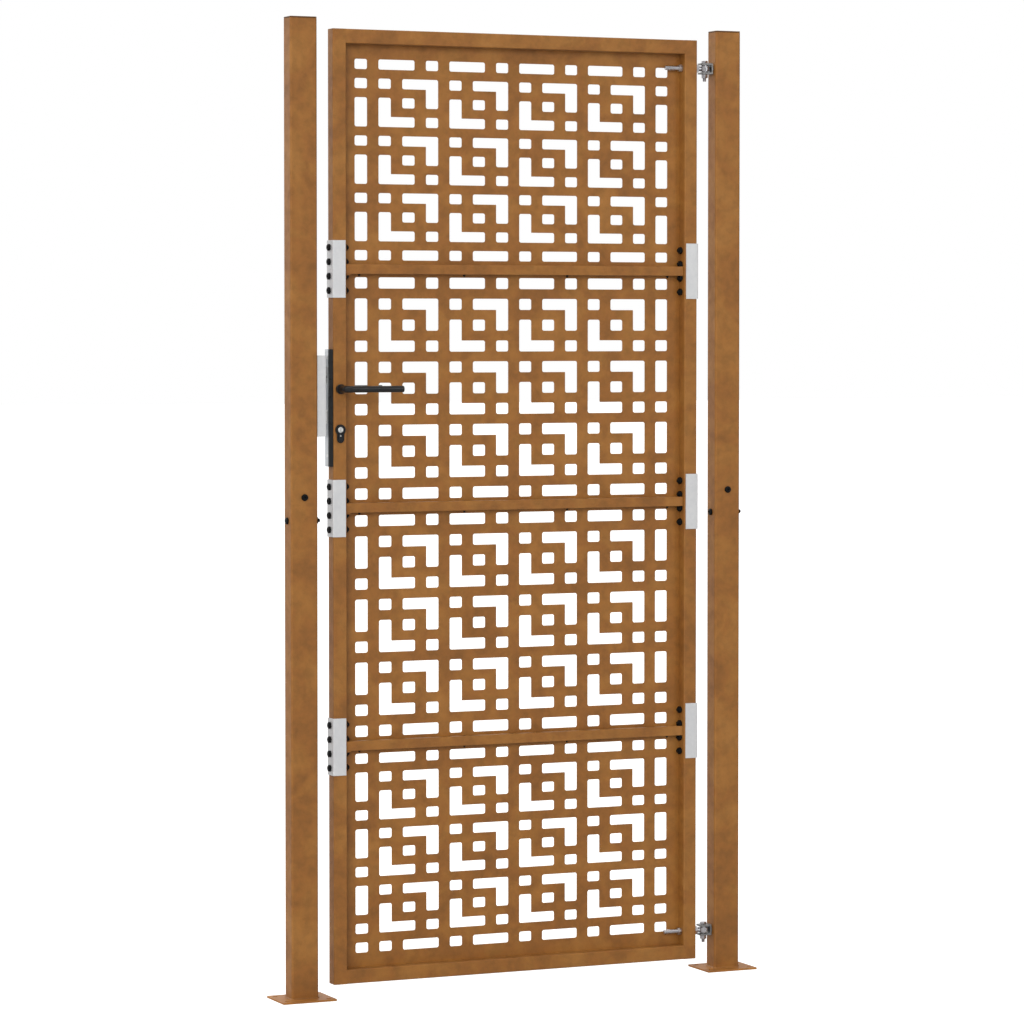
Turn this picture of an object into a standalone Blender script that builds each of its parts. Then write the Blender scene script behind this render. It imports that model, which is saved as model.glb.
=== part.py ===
"""Garden gate: a perforated weathering-steel leaf hung between two posts, with a lever lock.

Metres, +Z up. The origin is on the ground, midway between the posts and midway through their
depth. The gate's front faces -Y, the lock post stands at -X and the hinge post at +X. The leaf
is bolted together from four sections, each a framed and perforated sheet.
"""

import math

import bmesh
import bpy
from mathutils import Matrix, Vector

GATE_WIDTH = 1.050
GATE_HEIGHT = 2.050
GAP = 0.0003
OVERSHOOT = 0.010

POST_WIDTH, POST_DEPTH, POST_WALL = 0.060, 0.040, 0.0015
POST_SPLIT_Z = 1.0275
CAP_THICKNESS, CAP_PLUG_LENGTH, CAP_PLUG_WALL = 0.003, 0.012, 0.004
SLEEVE_WALL, SLEEVE_HALF_LENGTH = 0.002, 0.100
PLATE_WIDTH, PLATE_DEPTH, PLATE_THICKNESS = 0.120, 0.100, 0.004
ANCHOR_X, ANCHOR_Y, ANCHOR_RADIUS = 0.046, 0.036, 0.005
FRONT_SCREW_Z, SIDE_BOLT_Z = 1.052, 1.003

LEAF_WIDTH, LEAF_HEIGHT, LEAF_X = 0.850, 2.000, -0.003
LEAF_BOTTOM = POST_SPLIT_Z - LEAF_HEIGHT / 2
SECTIONS = ("bottom", "lower", "upper", "top")
SECTION_HEIGHT = LEAF_HEIGHT / len(SECTIONS)
TUBE, TUBE_WALL = 0.030, 0.0015
CROSSBAR_DEPTH, CROSSBAR_HEIGHT, CROSSBAR_BACK = 0.0205, 0.010, 0.0107
NUT_NOTCH_LENGTH, NUT_NOTCH_HALF, NUT_NOTCH_DEPTH = 0.0105, 0.0080, 0.0028

SHEET_THICKNESS, SHEET_FRONT = 0.002, 0.011
PATTERN_COLUMNS, PATTERN_ROWS = 14, 11
COLUMN_PITCH, HOLE_WIDTH = 0.0541, 0.0286
HOLE_SHARE = 0.53
PATTERN_MARGIN = 0.0165
END_PATTERN_HEIGHT, END_JOINT_MARGIN = 0.4211, 0.0189

BRACKET_HEIGHT, BRACKET_FLANGE, BRACKET_SHEET = 0.120, 0.0293, 0.002
BRACKET_BOLT_Z = (-0.045, -0.015, 0.015, 0.045)
BOLT_RADIUS, BOLT_HEAD_RADIUS, BOLT_HEAD_HEIGHT = 0.004, 0.007, 0.0044
NUT_FLATS, NUT_HEIGHT, BOLT_TAIL = 0.013, 0.0065, 0.003

PIN_X = 0.447
HINGE_FROM_END = 0.060
EYE_RADIUS, EYE_HEIGHT, EYE_HUB_RADIUS = 0.0115, 0.0106, 0.0070
EYE_HUB_HALF, EAR_INNER, EAR_THICKNESS = 0.0076, 0.0079, 0.004
CLEVIS_DEPTH, CLEVIS_WEB, CLEVIS_FRONT = 0.022, 0.0035, 0.0110
STUD_RADIUS, STUD_FLATS, STUD_NUT_HEIGHT = 0.005, 0.017, 0.0084
STUD_LENGTH, COLLAR_RADIUS, COLLAR_THICKNESS = 0.030, 0.010, 0.002
ROD_END_X = 0.346
PIN_HOLE_RADIUS = 0.00435
PIN_TOP, PIN_BOTTOM, PIN_NUT_HEIGHT = 0.0172, -0.0276, 0.0080

LOCK_BOTTOM, LOCK_TOP = 1.115, 1.360
LOCK_FRONT, LOCK_BACK = -0.015, 0.009
LOCK_SPACER, LOCK_PLATE = 0.0074, 0.0015
CASE_BOTTOM, CASE_TOP, CASE_HALF, CASE_BACK_X, CASE_WALL = 1.155, 1.330, 0.0078, -0.402, 0.0015
SPINDLE_X, SPINDLE_Z, SPINDLE_SIDE, SPINDLE_HALF = -0.413, 1.277, 0.008, 0.040
SPINDLE_HOLE_RADIUS = 0.0065
LATCH_Z, LATCH_HEIGHT, LATCH_THICKNESS, LATCH_LENGTH = 1.3055, 0.036, 0.012, 0.033
LATCH_OUT, LATCH_BEVEL, LATCH_LAND = 0.012, 0.007, 0.003
BOLT_Z, BOLT_HEIGHT, BOLT_THICKNESS, BOLT_LENGTH = 1.219, 0.030, 0.012, 0.032
CYLINDER_Z, CYLINDER_RADIUS, CYLINDER_TAIL, CYLINDER_DROP = 1.1917, 0.0085, 0.005, 0.0245
CYLINDER_HALF, PLUG_HALF, PLUG_RADIUS, PLUG_BORE = 0.0186, 0.0189, 0.0060, 0.0064
KEYWAY_WIDTH, KEYWAY_HEIGHT, KEYWAY_DEPTH = 0.0016, 0.0080, 0.008
ROSE_OFFSET, ROSE_THICKNESS = 0.0030, 0.003
HUB_RADIUS, HUB_HEIGHT, NECK_RADIUS = 0.0103, 0.008, 0.0075
GRIP_RADIUS, GRIP_STANDOFF, GRIP_LENGTH = 0.0063, 0.045, 0.125

KEEPER_BOTTOM, KEEPER_TOP, KEEPER_OUT, KEEPER_WALL = 1.178, 1.347, 0.0215, 0.002
KEEPER_HALF, POCKET_CLEARANCE = 0.015, 0.0015

LEAF_LEFT = LEAF_X - LEAF_WIDTH / 2
LEAF_RIGHT = LEAF_X + LEAF_WIDTH / 2
POST_X = (GATE_WIDTH - POST_WIDTH) / 2
HINGE_Z = {
    "top": LEAF_BOTTOM + LEAF_HEIGHT - HINGE_FROM_END,
    "bottom": LEAF_BOTTOM + HINGE_FROM_END,
}
LOCK_FACE_X = LEAF_LEFT - GAP - LOCK_SPACER - GAP - LOCK_PLATE


def clear_scene():
    for thing in list(bpy.data.objects):
        bpy.data.objects.remove(thing)


def collection(name):
    made = bpy.data.collections.new(name)
    bpy.context.scene.collection.children.link(made)
    return made


def metal(name, colour, roughness, metallic):
    made = bpy.data.materials.new(name)
    made.use_nodes = True
    shader = made.node_tree.nodes["Principled BSDF"]
    shader.inputs["Base Color"].default_value = (*colour, 1.0)
    shader.inputs["Roughness"].default_value = roughness
    shader.inputs["Metallic"].default_value = metallic
    return made


def pivot(name, place, parent=None):
    """An empty on a joint's axis, which the pieces that move with that joint hang from."""
    made = bpy.data.objects.new(name, None)
    GATE.objects.link(made)
    made.location = place
    hang(made, parent)
    return made


def hang(thing, parent):
    """Parents without moving: the thing's own location stays a place in the gate's frame."""
    if parent is not None:
        bpy.context.view_layer.update()
        thing.parent = parent
        thing.matrix_parent_inverse = parent.matrix_world.inverted()


clear_scene()
GATE = collection("garden_gate")
GUIDES = collection("cutters")
LEAF = pivot("gate_swing_axis", (PIN_X, 0, 0))
LEVERS = pivot("lever_turn_axis", (SPINDLE_X, 0, SPINDLE_Z), LEAF)
PLUG = pivot("plug_turn_axis", (SPINDLE_X, 0, CYLINDER_Z), LEAF)
LATCH = pivot("latch_slide_axis", (LOCK_FACE_X, 0, LATCH_Z), LEAF)
DEAD_BOLT = pivot("bolt_throw_axis", (LOCK_FACE_X, 0, BOLT_Z), LEAF)
WEATHERING_STEEL = metal("weathering_steel", (0.305, 0.130, 0.040), 0.80, 0.1)
DARK_STEEL = metal("dark_steel", (0.090, 0.045, 0.020), 0.70, 0.1)
GALVANISED = metal("galvanised_steel", (0.60, 0.61, 0.60), 0.45, 0.8)
ZINC = metal("zinc_plated_steel", (0.55, 0.55, 0.57), 0.28, 1.0)
BLACK = metal("black_hardware", (0.012, 0.012, 0.013), 0.40, 0.3)
LOCK_STEEL = metal("lock_steel", (0.50, 0.54, 0.57), 0.35, 0.9)


def finish(mesh, name, material, parent=None):
    """The mesh as one named piece of the gate, smooth where it is round and sharp at edges."""
    made = bpy.data.objects.new(name, mesh)
    GATE.objects.link(made)
    if not mesh.materials:
        mesh.materials.append(material)
    mesh.shade_smooth()
    mesh.set_sharp_from_angle(angle=math.radians(35))
    hang(made, parent)
    return made


def guide(mesh):
    """A solid that only cuts or adds to another one, and isn't part of the gate itself."""
    made = bpy.data.objects.new("guide", mesh)
    GUIDES.objects.link(made)
    made.hide_render = True
    made.display_type = "WIRE"
    return made


def block(low, high):
    """A box between two corners."""
    low, high = Vector(low), Vector(high)
    shape = bmesh.new()
    bmesh.ops.create_cube(shape, size=1.0)
    size = Matrix.Diagonal((*(high - low), 1.0))
    bmesh.ops.transform(shape, matrix=Matrix.Translation((low + high) / 2) @ size, verts=shape.verts)
    mesh = bpy.data.meshes.new("block")
    shape.to_mesh(mesh)
    shape.free()
    return mesh


AXIS_TURN = {
    "X": Matrix.Rotation(math.pi / 2, 4, "Y"),
    "Y": Matrix.Rotation(-math.pi / 2, 4, "X"),
    "Z": Matrix.Identity(4),
}


def rod(start, length, radius, sides, axis, turn=0.0):
    """A prism or faceted cylinder that runs from start along one axis."""
    shape = bmesh.new()
    bmesh.ops.create_cone(
        shape, cap_ends=True, segments=sides, radius1=radius, radius2=radius, depth=length,
        matrix=Matrix.Translation((0, 0, length / 2)) @ Matrix.Rotation(turn, 4, "Z"),
    )
    place = Matrix.Translation(Vector(start)) @ AXIS_TURN[axis]
    bmesh.ops.transform(shape, matrix=place, verts=shape.verts)
    mesh = bpy.data.meshes.new("rod")
    shape.to_mesh(mesh)
    shape.free()
    return mesh


def hexagon(start, length, flats, axis, turn=0.0):
    return rod(start, length, flats / math.sqrt(3), 6, axis, turn)


def tube(low, high, axis, wall, closed_end=None):
    """A rectangular tube: an open box skin with Solidify, closed at one end if asked."""
    mesh = block(low, high)
    shape = bmesh.new()
    shape.from_mesh(mesh)
    index = "XYZ".index(axis)
    ends = [f for f in shape.faces if abs(f.normal[index]) > 0.9]
    shut = {"low": -1, "high": 1}.get(closed_end, 0)
    bmesh.ops.delete(shape, geom=[f for f in ends if f.normal[index] * shut < 0.9], context="FACES")
    shape.to_mesh(mesh)
    shape.free()
    skin = guide(mesh)
    shell = skin.modifiers.new("wall", "SOLIDIFY")
    shell.thickness = wall
    shell.offset = -1.0
    shell.use_even_offset = True
    return evaluated(skin)


def evaluated(thing):
    """The object's mesh with its modifiers applied; the object itself is removed."""
    bpy.context.view_layer.update()
    graph = bpy.context.evaluated_depsgraph_get()
    mesh = bpy.data.meshes.new_from_object(thing.evaluated_get(graph))
    mesh.transform(thing.matrix_world)
    bpy.data.objects.remove(thing)
    return mesh


def combine(base, others, operation):
    """The base mesh with each other mesh added to it or taken from it."""
    thing = guide(base)
    for other in others:
        step = thing.modifiers.new(operation.lower(), "BOOLEAN")
        step.operation = operation
        step.object = guide(other)
    return evaluated(thing)


def fused(base, *others):
    return combine(base, others, "UNION")


def cut(base, *others):
    return combine(base, others, "DIFFERENCE")


def plate(loops, low, high, axis="Y"):
    """A flat plate from closed outlines, holes included, between two places along one axis."""
    flat = bpy.data.curves.new("plate", "CURVE")
    flat.dimensions = "2D"
    flat.fill_mode = "BOTH"
    flat.extrude = (high - low) / 2
    for loop in loops:
        spline = flat.splines.new("POLY")
        spline.points.add(len(loop) - 1)
        for point, (u, v) in zip(spline.points, loop):
            point.co = (u, v, 0.0, 1.0)
        spline.use_cyclic_u = True
    thing = bpy.data.objects.new("plate", flat)
    GUIDES.objects.link(thing)
    stand = Matrix.Rotation(math.pi / 2, 4, "X")
    middle = (low + high) / 2
    thing.matrix_world = {
        "Y": Matrix.Translation((0, middle, 0)) @ stand,
        "Z": Matrix.Translation((0, 0, middle)),
        "X": Matrix.Translation((middle, 0, 0)) @ Matrix.Rotation(math.pi / 2, 4, "Z") @ stand,
    }[axis]
    mesh = evaluated(thing)
    shape = bmesh.new()
    shape.from_mesh(mesh)
    bmesh.ops.remove_doubles(shape, verts=shape.verts, dist=0.00001)
    bmesh.ops.recalc_face_normals(shape, faces=shape.faces)
    shape.to_mesh(mesh)
    shape.free()
    return mesh


def rectangle(left, bottom, right, top):
    return [(left, bottom), (right, bottom), (right, top), (left, top)]


def ring(centre_u, centre_v, radius, sides):
    turns = [2 * math.pi * (k + 0.5) / sides for k in range(sides)]
    return [(centre_u + radius * math.cos(t), centre_v + radius * math.sin(t)) for t in turns]


def profile_cylinder(grow):
    """The outline of a profile cylinder, a round head over a narrow tail, grown by an offset."""
    head, tail = CYLINDER_RADIUS + grow, CYLINDER_TAIL + grow
    neck = math.asin(tail / head)
    sweep = 2 * math.pi - 2 * neck
    arc = [-math.pi / 2 + neck + sweep * k / 14 for k in range(15)]
    outline = [(head * math.cos(t), head * math.sin(t)) for t in arc]
    foot = -(CYLINDER_DROP - CYLINDER_TAIL)
    bottom = [math.pi + math.pi * k / 6 for k in range(7)]
    outline += [(tail * math.cos(t), foot + tail * math.sin(t)) for t in bottom]
    return [(SPINDLE_X + u, CYLINDER_Z + v) for u, v in outline]


def bolt_hole(low_x, high_x, z):
    """A cutter for a cross bolt's hole, right through along X."""
    start, length = (low_x - OVERSHOOT, 0, z), high_x - low_x + 2 * OVERSHOOT
    return rod(start, length, BOLT_RADIUS + GAP, 8, "X", math.pi / 8)


def make_base_plate(name, x):
    corners = rectangle(x - PLATE_WIDTH / 2, -PLATE_DEPTH / 2, x + PLATE_WIDTH / 2, PLATE_DEPTH / 2)
    holes = [ring(x + i * ANCHOR_X, j * ANCHOR_Y, ANCHOR_RADIUS, 12) for i in (-1, 1) for j in (-1, 1)]
    finish(plate([corners, *holes], 0.0, PLATE_THICKNESS, "Z"), name, WEATHERING_STEEL)


def make_post(side, x):
    """One post: a base plate, two tubes joined by an inner sleeve, two fasteners and a cap."""
    half_w, half_d = POST_WIDTH / 2, POST_DEPTH / 2
    low_x, high_x = x - half_w, x + half_w
    front_hole = rod(
        (x, -half_d - OVERSHOOT, FRONT_SCREW_Z), 2 * OVERSHOOT, BOLT_RADIUS + GAP, 12, "Y"
    )
    side_hole = bolt_hole(low_x, high_x, SIDE_BOLT_Z)
    lower_holes, upper_holes = [side_hole], [front_hole]
    if side == "right":
        lower_holes.append(stud_hole("bottom"))
        upper_holes.append(stud_hole("top"))

    make_base_plate(f"{side}_base_plate", x)
    tube_top = GATE_HEIGHT - CAP_THICKNESS - GAP
    for name, low, high, holes in (
        ("lower", PLATE_THICKNESS + GAP, POST_SPLIT_Z - GAP / 2, lower_holes),
        ("upper", POST_SPLIT_Z + GAP / 2, tube_top, upper_holes),
    ):
        mesh = tube((low_x, -half_d, low), (high_x, half_d, high), "Z", POST_WALL)
        finish(cut(mesh, *holes), f"{side}_post_{name}", WEATHERING_STEEL)

    inset_x, inset_y = half_w - POST_WALL - GAP, half_d - POST_WALL - GAP
    sleeve = tube(
        (x - inset_x, -inset_y, POST_SPLIT_Z - SLEEVE_HALF_LENGTH),
        (x + inset_x, inset_y, POST_SPLIT_Z + SLEEVE_HALF_LENGTH), "Z", SLEEVE_WALL,
    )
    finish(cut(sleeve, front_hole, side_hole), f"{side}_post_sleeve", DARK_STEEL)
    make_post_cap(f"{side}_post_cap", x, inset_x, inset_y)
    make_front_screw(f"{side}_post_front_screw", x, -half_d)
    make_side_bolt(f"{side}_post_side_bolt", low_x, high_x)


def make_post_cap(name, x, inset_x, inset_y):
    """A flat lid with a hollow plug under it that fits the tube."""
    under = GATE_HEIGHT - CAP_THICKNESS
    low = (x - POST_WIDTH / 2, -POST_DEPTH / 2, under)
    high = (x + POST_WIDTH / 2, POST_DEPTH / 2, GATE_HEIGHT)
    lid = block(low, high)
    plug = block(
        (x - inset_x, -inset_y, under - CAP_PLUG_LENGTH), (x + inset_x, inset_y, under + CAP_THICKNESS / 2)
    )
    hollow_x, hollow_y = inset_x - CAP_PLUG_WALL, inset_y - CAP_PLUG_WALL
    hollow = block((x - hollow_x, -hollow_y, under - 2 * CAP_PLUG_LENGTH), (x + hollow_x, hollow_y, under))
    finish(cut(fused(lid, plug), hollow), name, DARK_STEEL)


def make_front_screw(name, x, face_y):
    """A domed screw through the post's front wall and the sleeve, into a nut inside."""
    inner = POST_WALL + GAP + SLEEVE_WALL + GAP
    head_start = (x, face_y - GAP - BOLT_HEAD_HEIGHT, FRONT_SCREW_Z)
    head = rod(head_start, BOLT_HEAD_HEIGHT, BOLT_HEAD_RADIUS, 16, "Y")
    shank = rod(
        (x, face_y - GAP - BOLT_HEAD_HEIGHT / 2, FRONT_SCREW_Z), inner + 2 * NUT_HEIGHT, BOLT_RADIUS, 12, "Y"
    )
    nut = hexagon((x, face_y + inner, FRONT_SCREW_Z), NUT_HEIGHT, NUT_FLATS, "Y")
    finish(fused(head, shank, nut), name, BLACK)


def make_side_bolt(name, low_x, high_x):
    """The cross bolt through the post and the sleeve, its head on the -X side."""
    head = rod((low_x - GAP - BOLT_HEAD_HEIGHT, 0, SIDE_BOLT_Z), BOLT_HEAD_HEIGHT, BOLT_HEAD_RADIUS, 16, "X")
    end = high_x + GAP + NUT_HEIGHT + 2 * BOLT_TAIL
    start = low_x - GAP - BOLT_HEAD_HEIGHT / 2
    shank = rod((start, 0, SIDE_BOLT_Z), end - start, BOLT_RADIUS, 8, "X", math.pi / 8)
    nut = hexagon((high_x + GAP, 0, SIDE_BOLT_Z), NUT_HEIGHT, NUT_FLATS, "X")
    finish(fused(head, shank, nut), name, BLACK)


def hole_loops(pitch, hole_height, left, top):
    """The sheet's holes as closed outlines: a motif of squares and corner pieces, repeated.

    A cell is one square of the grid, and a piece joins one to three cells. Every three columns
    and three rows hold the same motif, with its own first and last rows and side columns.
    """

    def cells(row, column, rows=1, columns=1):
        x0 = left + column * COLUMN_PITCH
        z1 = top - row * pitch
        x1 = x0 + (columns - 1) * COLUMN_PITCH + HOLE_WIDTH
        z0 = z1 - (rows - 1) * pitch - hole_height
        return x0, z0, x1, z1

    loops = []
    for column in range(1, PATTERN_COLUMNS - 1, 3):
        loops.append(rectangle(*cells(0, column, 1, 2)))
        loops.append(rectangle(*cells(0, column + 2)))
        loops.append(rectangle(*cells(PATTERN_ROWS - 1, column)))
        loops.append(rectangle(*cells(PATTERN_ROWS - 1, column + 1, 1, 2)))
        for row in range(1, PATTERN_ROWS - 1, 3):
            for step in range(3):
                loops.append(rectangle(*cells(row + step, column + step)))
            x0, z0, x2, z2 = cells(row, column + 1, 2, 2)
            z1, x1 = z2 - hole_height, x2 - HOLE_WIDTH
            loops.append([(x0, z1), (x1, z1), (x1, z0), (x2, z0), (x2, z2), (x0, z2)])
            x0, z0, x2, z2 = cells(row + 1, column, 2, 2)
            z1, x1 = z0 + hole_height, x0 + HOLE_WIDTH
            loops.append([(x0, z0), (x2, z0), (x2, z1), (x1, z1), (x1, z2), (x0, z2)])
    return loops, cells


def side_column_loops(cells, single_rows, tall_rows):
    loops = []
    for column in (0, PATTERN_COLUMNS - 1):
        loops += [rectangle(*cells(row, column)) for row in single_rows]
        loops += [rectangle(*cells(row, column, 2)) for row in tall_rows]
    return loops


def make_panel(index, section):
    """One perforated sheet, held behind its crossbars and between its stiles."""
    low = LEAF_BOTTOM + index * SECTION_HEIGHT
    high = low + SECTION_HEIGHT
    at_bottom, at_top = index == 0, index == len(SECTIONS) - 1
    sheet_low = low + (TUBE + GAP if at_bottom else GAP / 2)
    sheet_high = high - (TUBE + GAP if at_top else GAP / 2)
    if at_bottom or at_top:
        pattern_height = END_PATTERN_HEIGHT
        pattern_top = high - END_JOINT_MARGIN if at_bottom else low + END_JOINT_MARGIN + pattern_height
    else:
        pattern_height = SECTION_HEIGHT - 2 * PATTERN_MARGIN
        pattern_top = high - PATTERN_MARGIN
    pitch = pattern_height / (PATTERN_ROWS - 1 + HOLE_SHARE)
    pattern_width = (PATTERN_COLUMNS - 1) * COLUMN_PITCH + HOLE_WIDTH
    loops, cells = hole_loops(pitch, HOLE_SHARE * pitch, LEAF_X - pattern_width / 2, pattern_top)
    singles, talls = ((0, 1, 4, 7, 10), (2, 5, 8)) if at_top else ((0, 3, 6, 9, 10), (1, 4, 7))
    loops += side_column_loops(cells, singles, talls)
    edge = TUBE + GAP
    border = rectangle(LEAF_LEFT + edge, sheet_low, LEAF_RIGHT - edge, sheet_high)
    sheet = plate([border, *loops], SHEET_FRONT, SHEET_FRONT + SHEET_THICKNESS)
    finish(sheet, f"panel_{section}", WEATHERING_STEEL, LEAF)


def joint_heights():
    return {
        name: LEAF_BOTTOM + (k + 1) * SECTION_HEIGHT for k, name in enumerate(("low", "middle", "high"))
    }


def make_stiles():
    """Four tubes a side, one to each section; the outermost ends are closed by a welded plate."""
    columns = (("left", LEAF_LEFT, LEAF_LEFT + TUBE), ("right", LEAF_RIGHT - TUBE, LEAF_RIGHT))
    for side, outer, inner in columns:
        for index, section in enumerate(SECTIONS):
            low = LEAF_BOTTOM + index * SECTION_HEIGHT + (GAP / 2 if index else 0)
            high = LEAF_BOTTOM + (index + 1) * SECTION_HEIGHT - (GAP / 2 if index < 3 else 0)
            shut = {0: "low", 3: "high"}.get(index)
            mesh = tube((outer, -TUBE / 2, low), (inner, TUBE / 2, high), "Z", TUBE_WALL, shut)
            cutters = [
                bolt_hole(outer, inner, joint + step)
                for joint in joint_heights().values()
                for step in BRACKET_BOLT_Z
                if low < joint + step < high
            ]
            if side == "right" and section in HINGE_Z:
                cutters.append(rod_hole(HINGE_Z[section], outer - OVERSHOOT, inner + OVERSHOOT))
            if side == "left" and section == "upper":
                cutters += lock_cutters()
            finish(cut(mesh, *cutters), f"{side}_stile_{section}", WEATHERING_STEEL, LEAF)


def make_rails_and_crossbars():
    low_x, high_x = LEAF_LEFT + TUBE + GAP, LEAF_RIGHT - TUBE - GAP
    leaf_top = LEAF_BOTTOM + LEAF_HEIGHT
    for name, low in (("bottom_rail", LEAF_BOTTOM), ("top_rail", leaf_top - TUBE)):
        mesh = tube((low_x, -TUBE / 2, low), (high_x, TUBE / 2, low + TUBE), "X", TUBE_WALL)
        finish(mesh, name, WEATHERING_STEEL, LEAF)
    front = CROSSBAR_BACK - CROSSBAR_DEPTH
    for name, z in joint_heights().items():
        for place, low in (("under", z - CROSSBAR_HEIGHT - GAP / 2), ("over", z + GAP / 2)):
            mesh = tube((low_x, front, low), (high_x, CROSSBAR_BACK, low + CROSSBAR_HEIGHT), "X", TUBE_WALL)
            outer_edge = low + (CROSSBAR_HEIGHT if place == "over" else 0)
            notches = [
                block(
                    (x - NUT_NOTCH_LENGTH, -NUT_NOTCH_HALF, outer_edge - NUT_NOTCH_DEPTH),
                    (x + NUT_NOTCH_LENGTH, NUT_NOTCH_HALF, outer_edge + NUT_NOTCH_DEPTH),
                )
                for x in (low_x, high_x)
            ]
            finish(cut(mesh, *notches), f"crossbar_{name}_{place}", WEATHERING_STEEL, LEAF)


def make_bracket_mesh():
    """A U of galvanised sheet round a stile's outer side at -X, with its four cross bolts."""
    wrap = TUBE / 2 + GAP
    outer, back = -wrap, wrap
    flange_end = outer - BRACKET_SHEET + BRACKET_FLANGE
    skin = wrap + BRACKET_SHEET
    outline = [
        (outer - BRACKET_SHEET, -skin), (flange_end, -skin), (flange_end, -wrap), (outer, -wrap),
        (outer, wrap), (flange_end, wrap), (flange_end, skin), (outer - BRACKET_SHEET, skin),
    ]
    mesh = plate([outline], -BRACKET_HEIGHT / 2, BRACKET_HEIGHT / 2, "Z")
    web = outer - BRACKET_SHEET
    extras = []
    for z in BRACKET_BOLT_Z:
        tip = back + NUT_HEIGHT + BOLT_TAIL
        extras.append(rod((web - BOLT_HEAD_HEIGHT, 0, z), BOLT_HEAD_HEIGHT + 0.001, BOLT_HEAD_RADIUS, 8, "X"))
        extras.append(rod((web + 0.0005, 0, z), tip - web - 0.0005, BOLT_RADIUS, 8, "X", math.pi / 8))
        extras.append(hexagon((back, 0, z), NUT_HEIGHT, NUT_FLATS, "X"))
    return fused(mesh, *extras)


def make_brackets():
    shared = make_bracket_mesh()
    for side, x, turn in (("left", LEAF_LEFT + TUBE / 2, 0.0), ("right", LEAF_RIGHT - TUBE / 2, math.pi)):
        for name, z in joint_heights().items():
            bracket = finish(shared, f"{side}_bracket_{name}", GALVANISED, LEAF)
            bracket.location = (x, 0, z)
            bracket.rotation_euler = (0, 0, turn)


def rod_hole(z, start, end):
    return rod((start, 0, z), end - start, STUD_RADIUS + GAP, 12, "X")


def stud_hole(end):
    face = POST_X - POST_WIDTH / 2
    return rod_hole(HINGE_Z[end], face - OVERSHOOT, face + OVERSHOOT)


def make_eyebolt(end, z):
    """The leaf's half of a hinge: an eye on a threaded rod, and its nut outside the stile."""
    eye = rod((PIN_X, 0, z - EYE_HEIGHT / 2), EYE_HEIGHT, EYE_RADIUS, 20, "Z")
    hub = rod((PIN_X, 0, z - EYE_HUB_HALF), 2 * EYE_HUB_HALF, EYE_HUB_RADIUS, 16, "Z")
    shank = rod((ROD_END_X, 0, z), PIN_X - ROD_END_X - EYE_HUB_RADIUS, STUD_RADIUS, 12, "X")
    nut = hexagon((LEAF_RIGHT + GAP, 0, z), STUD_NUT_HEIGHT, STUD_FLATS, "X")
    bore = rod((PIN_X, 0, z - 2 * EYE_HUB_HALF), 4 * EYE_HUB_HALF, PIN_HOLE_RADIUS, 16, "Z")
    finish(cut(fused(eye, hub, shank, nut), bore), f"{end}_hinge_eyebolt", ZINC, LEAF)
    inner_face = LEAF_RIGHT - TUBE - GAP
    inner_nut = hexagon((inner_face - STUD_NUT_HEIGHT, 0, z), STUD_NUT_HEIGHT, STUD_FLATS, "X")
    bore = rod_hole(z, inner_face - STUD_NUT_HEIGHT - OVERSHOOT, inner_face + OVERSHOOT)
    finish(cut(inner_nut, bore), f"{end}_hinge_rod_nut", ZINC, LEAF)


def make_clevis(end, z):
    """The post's half of a hinge: a forked block on a stud, with a nut inside the post."""
    face = POST_X - POST_WIDTH / 2
    web_back = face - GAP - COLLAR_THICKNESS
    web_front = web_back - CLEVIS_WEB
    outer = EAR_INNER + EAR_THICKNESS
    tip = PIN_X - CLEVIS_FRONT
    outline = [
        (tip, z - outer), (web_back, z - outer), (web_back, z + outer), (tip, z + outer),
        (tip, z + EAR_INNER), (web_front, z + EAR_INNER), (web_front, z - EAR_INNER), (tip, z - EAR_INNER),
    ]
    fork = plate([outline], -CLEVIS_DEPTH / 2, CLEVIS_DEPTH / 2)
    root = web_back - CLEVIS_WEB / 2
    collar = rod((root, 0, z), CLEVIS_WEB / 2 + COLLAR_THICKNESS, COLLAR_RADIUS, 16, "X")
    stud = rod((root, 0, z), STUD_LENGTH, STUD_RADIUS, 12, "X")
    nut = hexagon((face + POST_WALL + GAP, 0, z), STUD_NUT_HEIGHT, STUD_FLATS, "X")
    bore = rod((PIN_X, 0, z - 2 * outer), 4 * outer, PIN_HOLE_RADIUS, 16, "Z")
    finish(cut(fused(fork, collar, stud, nut), bore), f"{end}_hinge_clevis", ZINC)


def make_hinge_pin(end, z):
    """The upright bolt that both halves of a hinge turn on, with its head up and its nut below."""
    outer = EAR_INNER + EAR_THICKNESS + GAP
    head = hexagon((PIN_X, 0, z + outer), PIN_TOP - outer, NUT_FLATS, "Z")
    shank = rod((PIN_X, 0, z + PIN_BOTTOM), outer + GAP - PIN_BOTTOM, BOLT_RADIUS, 16, "Z")
    nut = hexagon((PIN_X, 0, z - outer - PIN_NUT_HEIGHT), PIN_NUT_HEIGHT, NUT_FLATS, "Z")
    finish(fused(head, shank, nut), f"{end}_hinge_pin", ZINC)


def latch_box(extra, back_x):
    half, tall = LATCH_THICKNESS / 2 + extra, LATCH_HEIGHT / 2 + extra
    return block((LOCK_FACE_X - OVERSHOOT, -half, LATCH_Z - tall), (back_x, half, LATCH_Z + tall))


def bolt_box(extra, back_x):
    half, tall = BOLT_THICKNESS / 2 + extra, BOLT_HEIGHT / 2 + extra
    return block((LOCK_FACE_X - OVERSHOOT, -half, BOLT_Z - tall), (back_x, half, BOLT_Z + tall))


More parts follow.
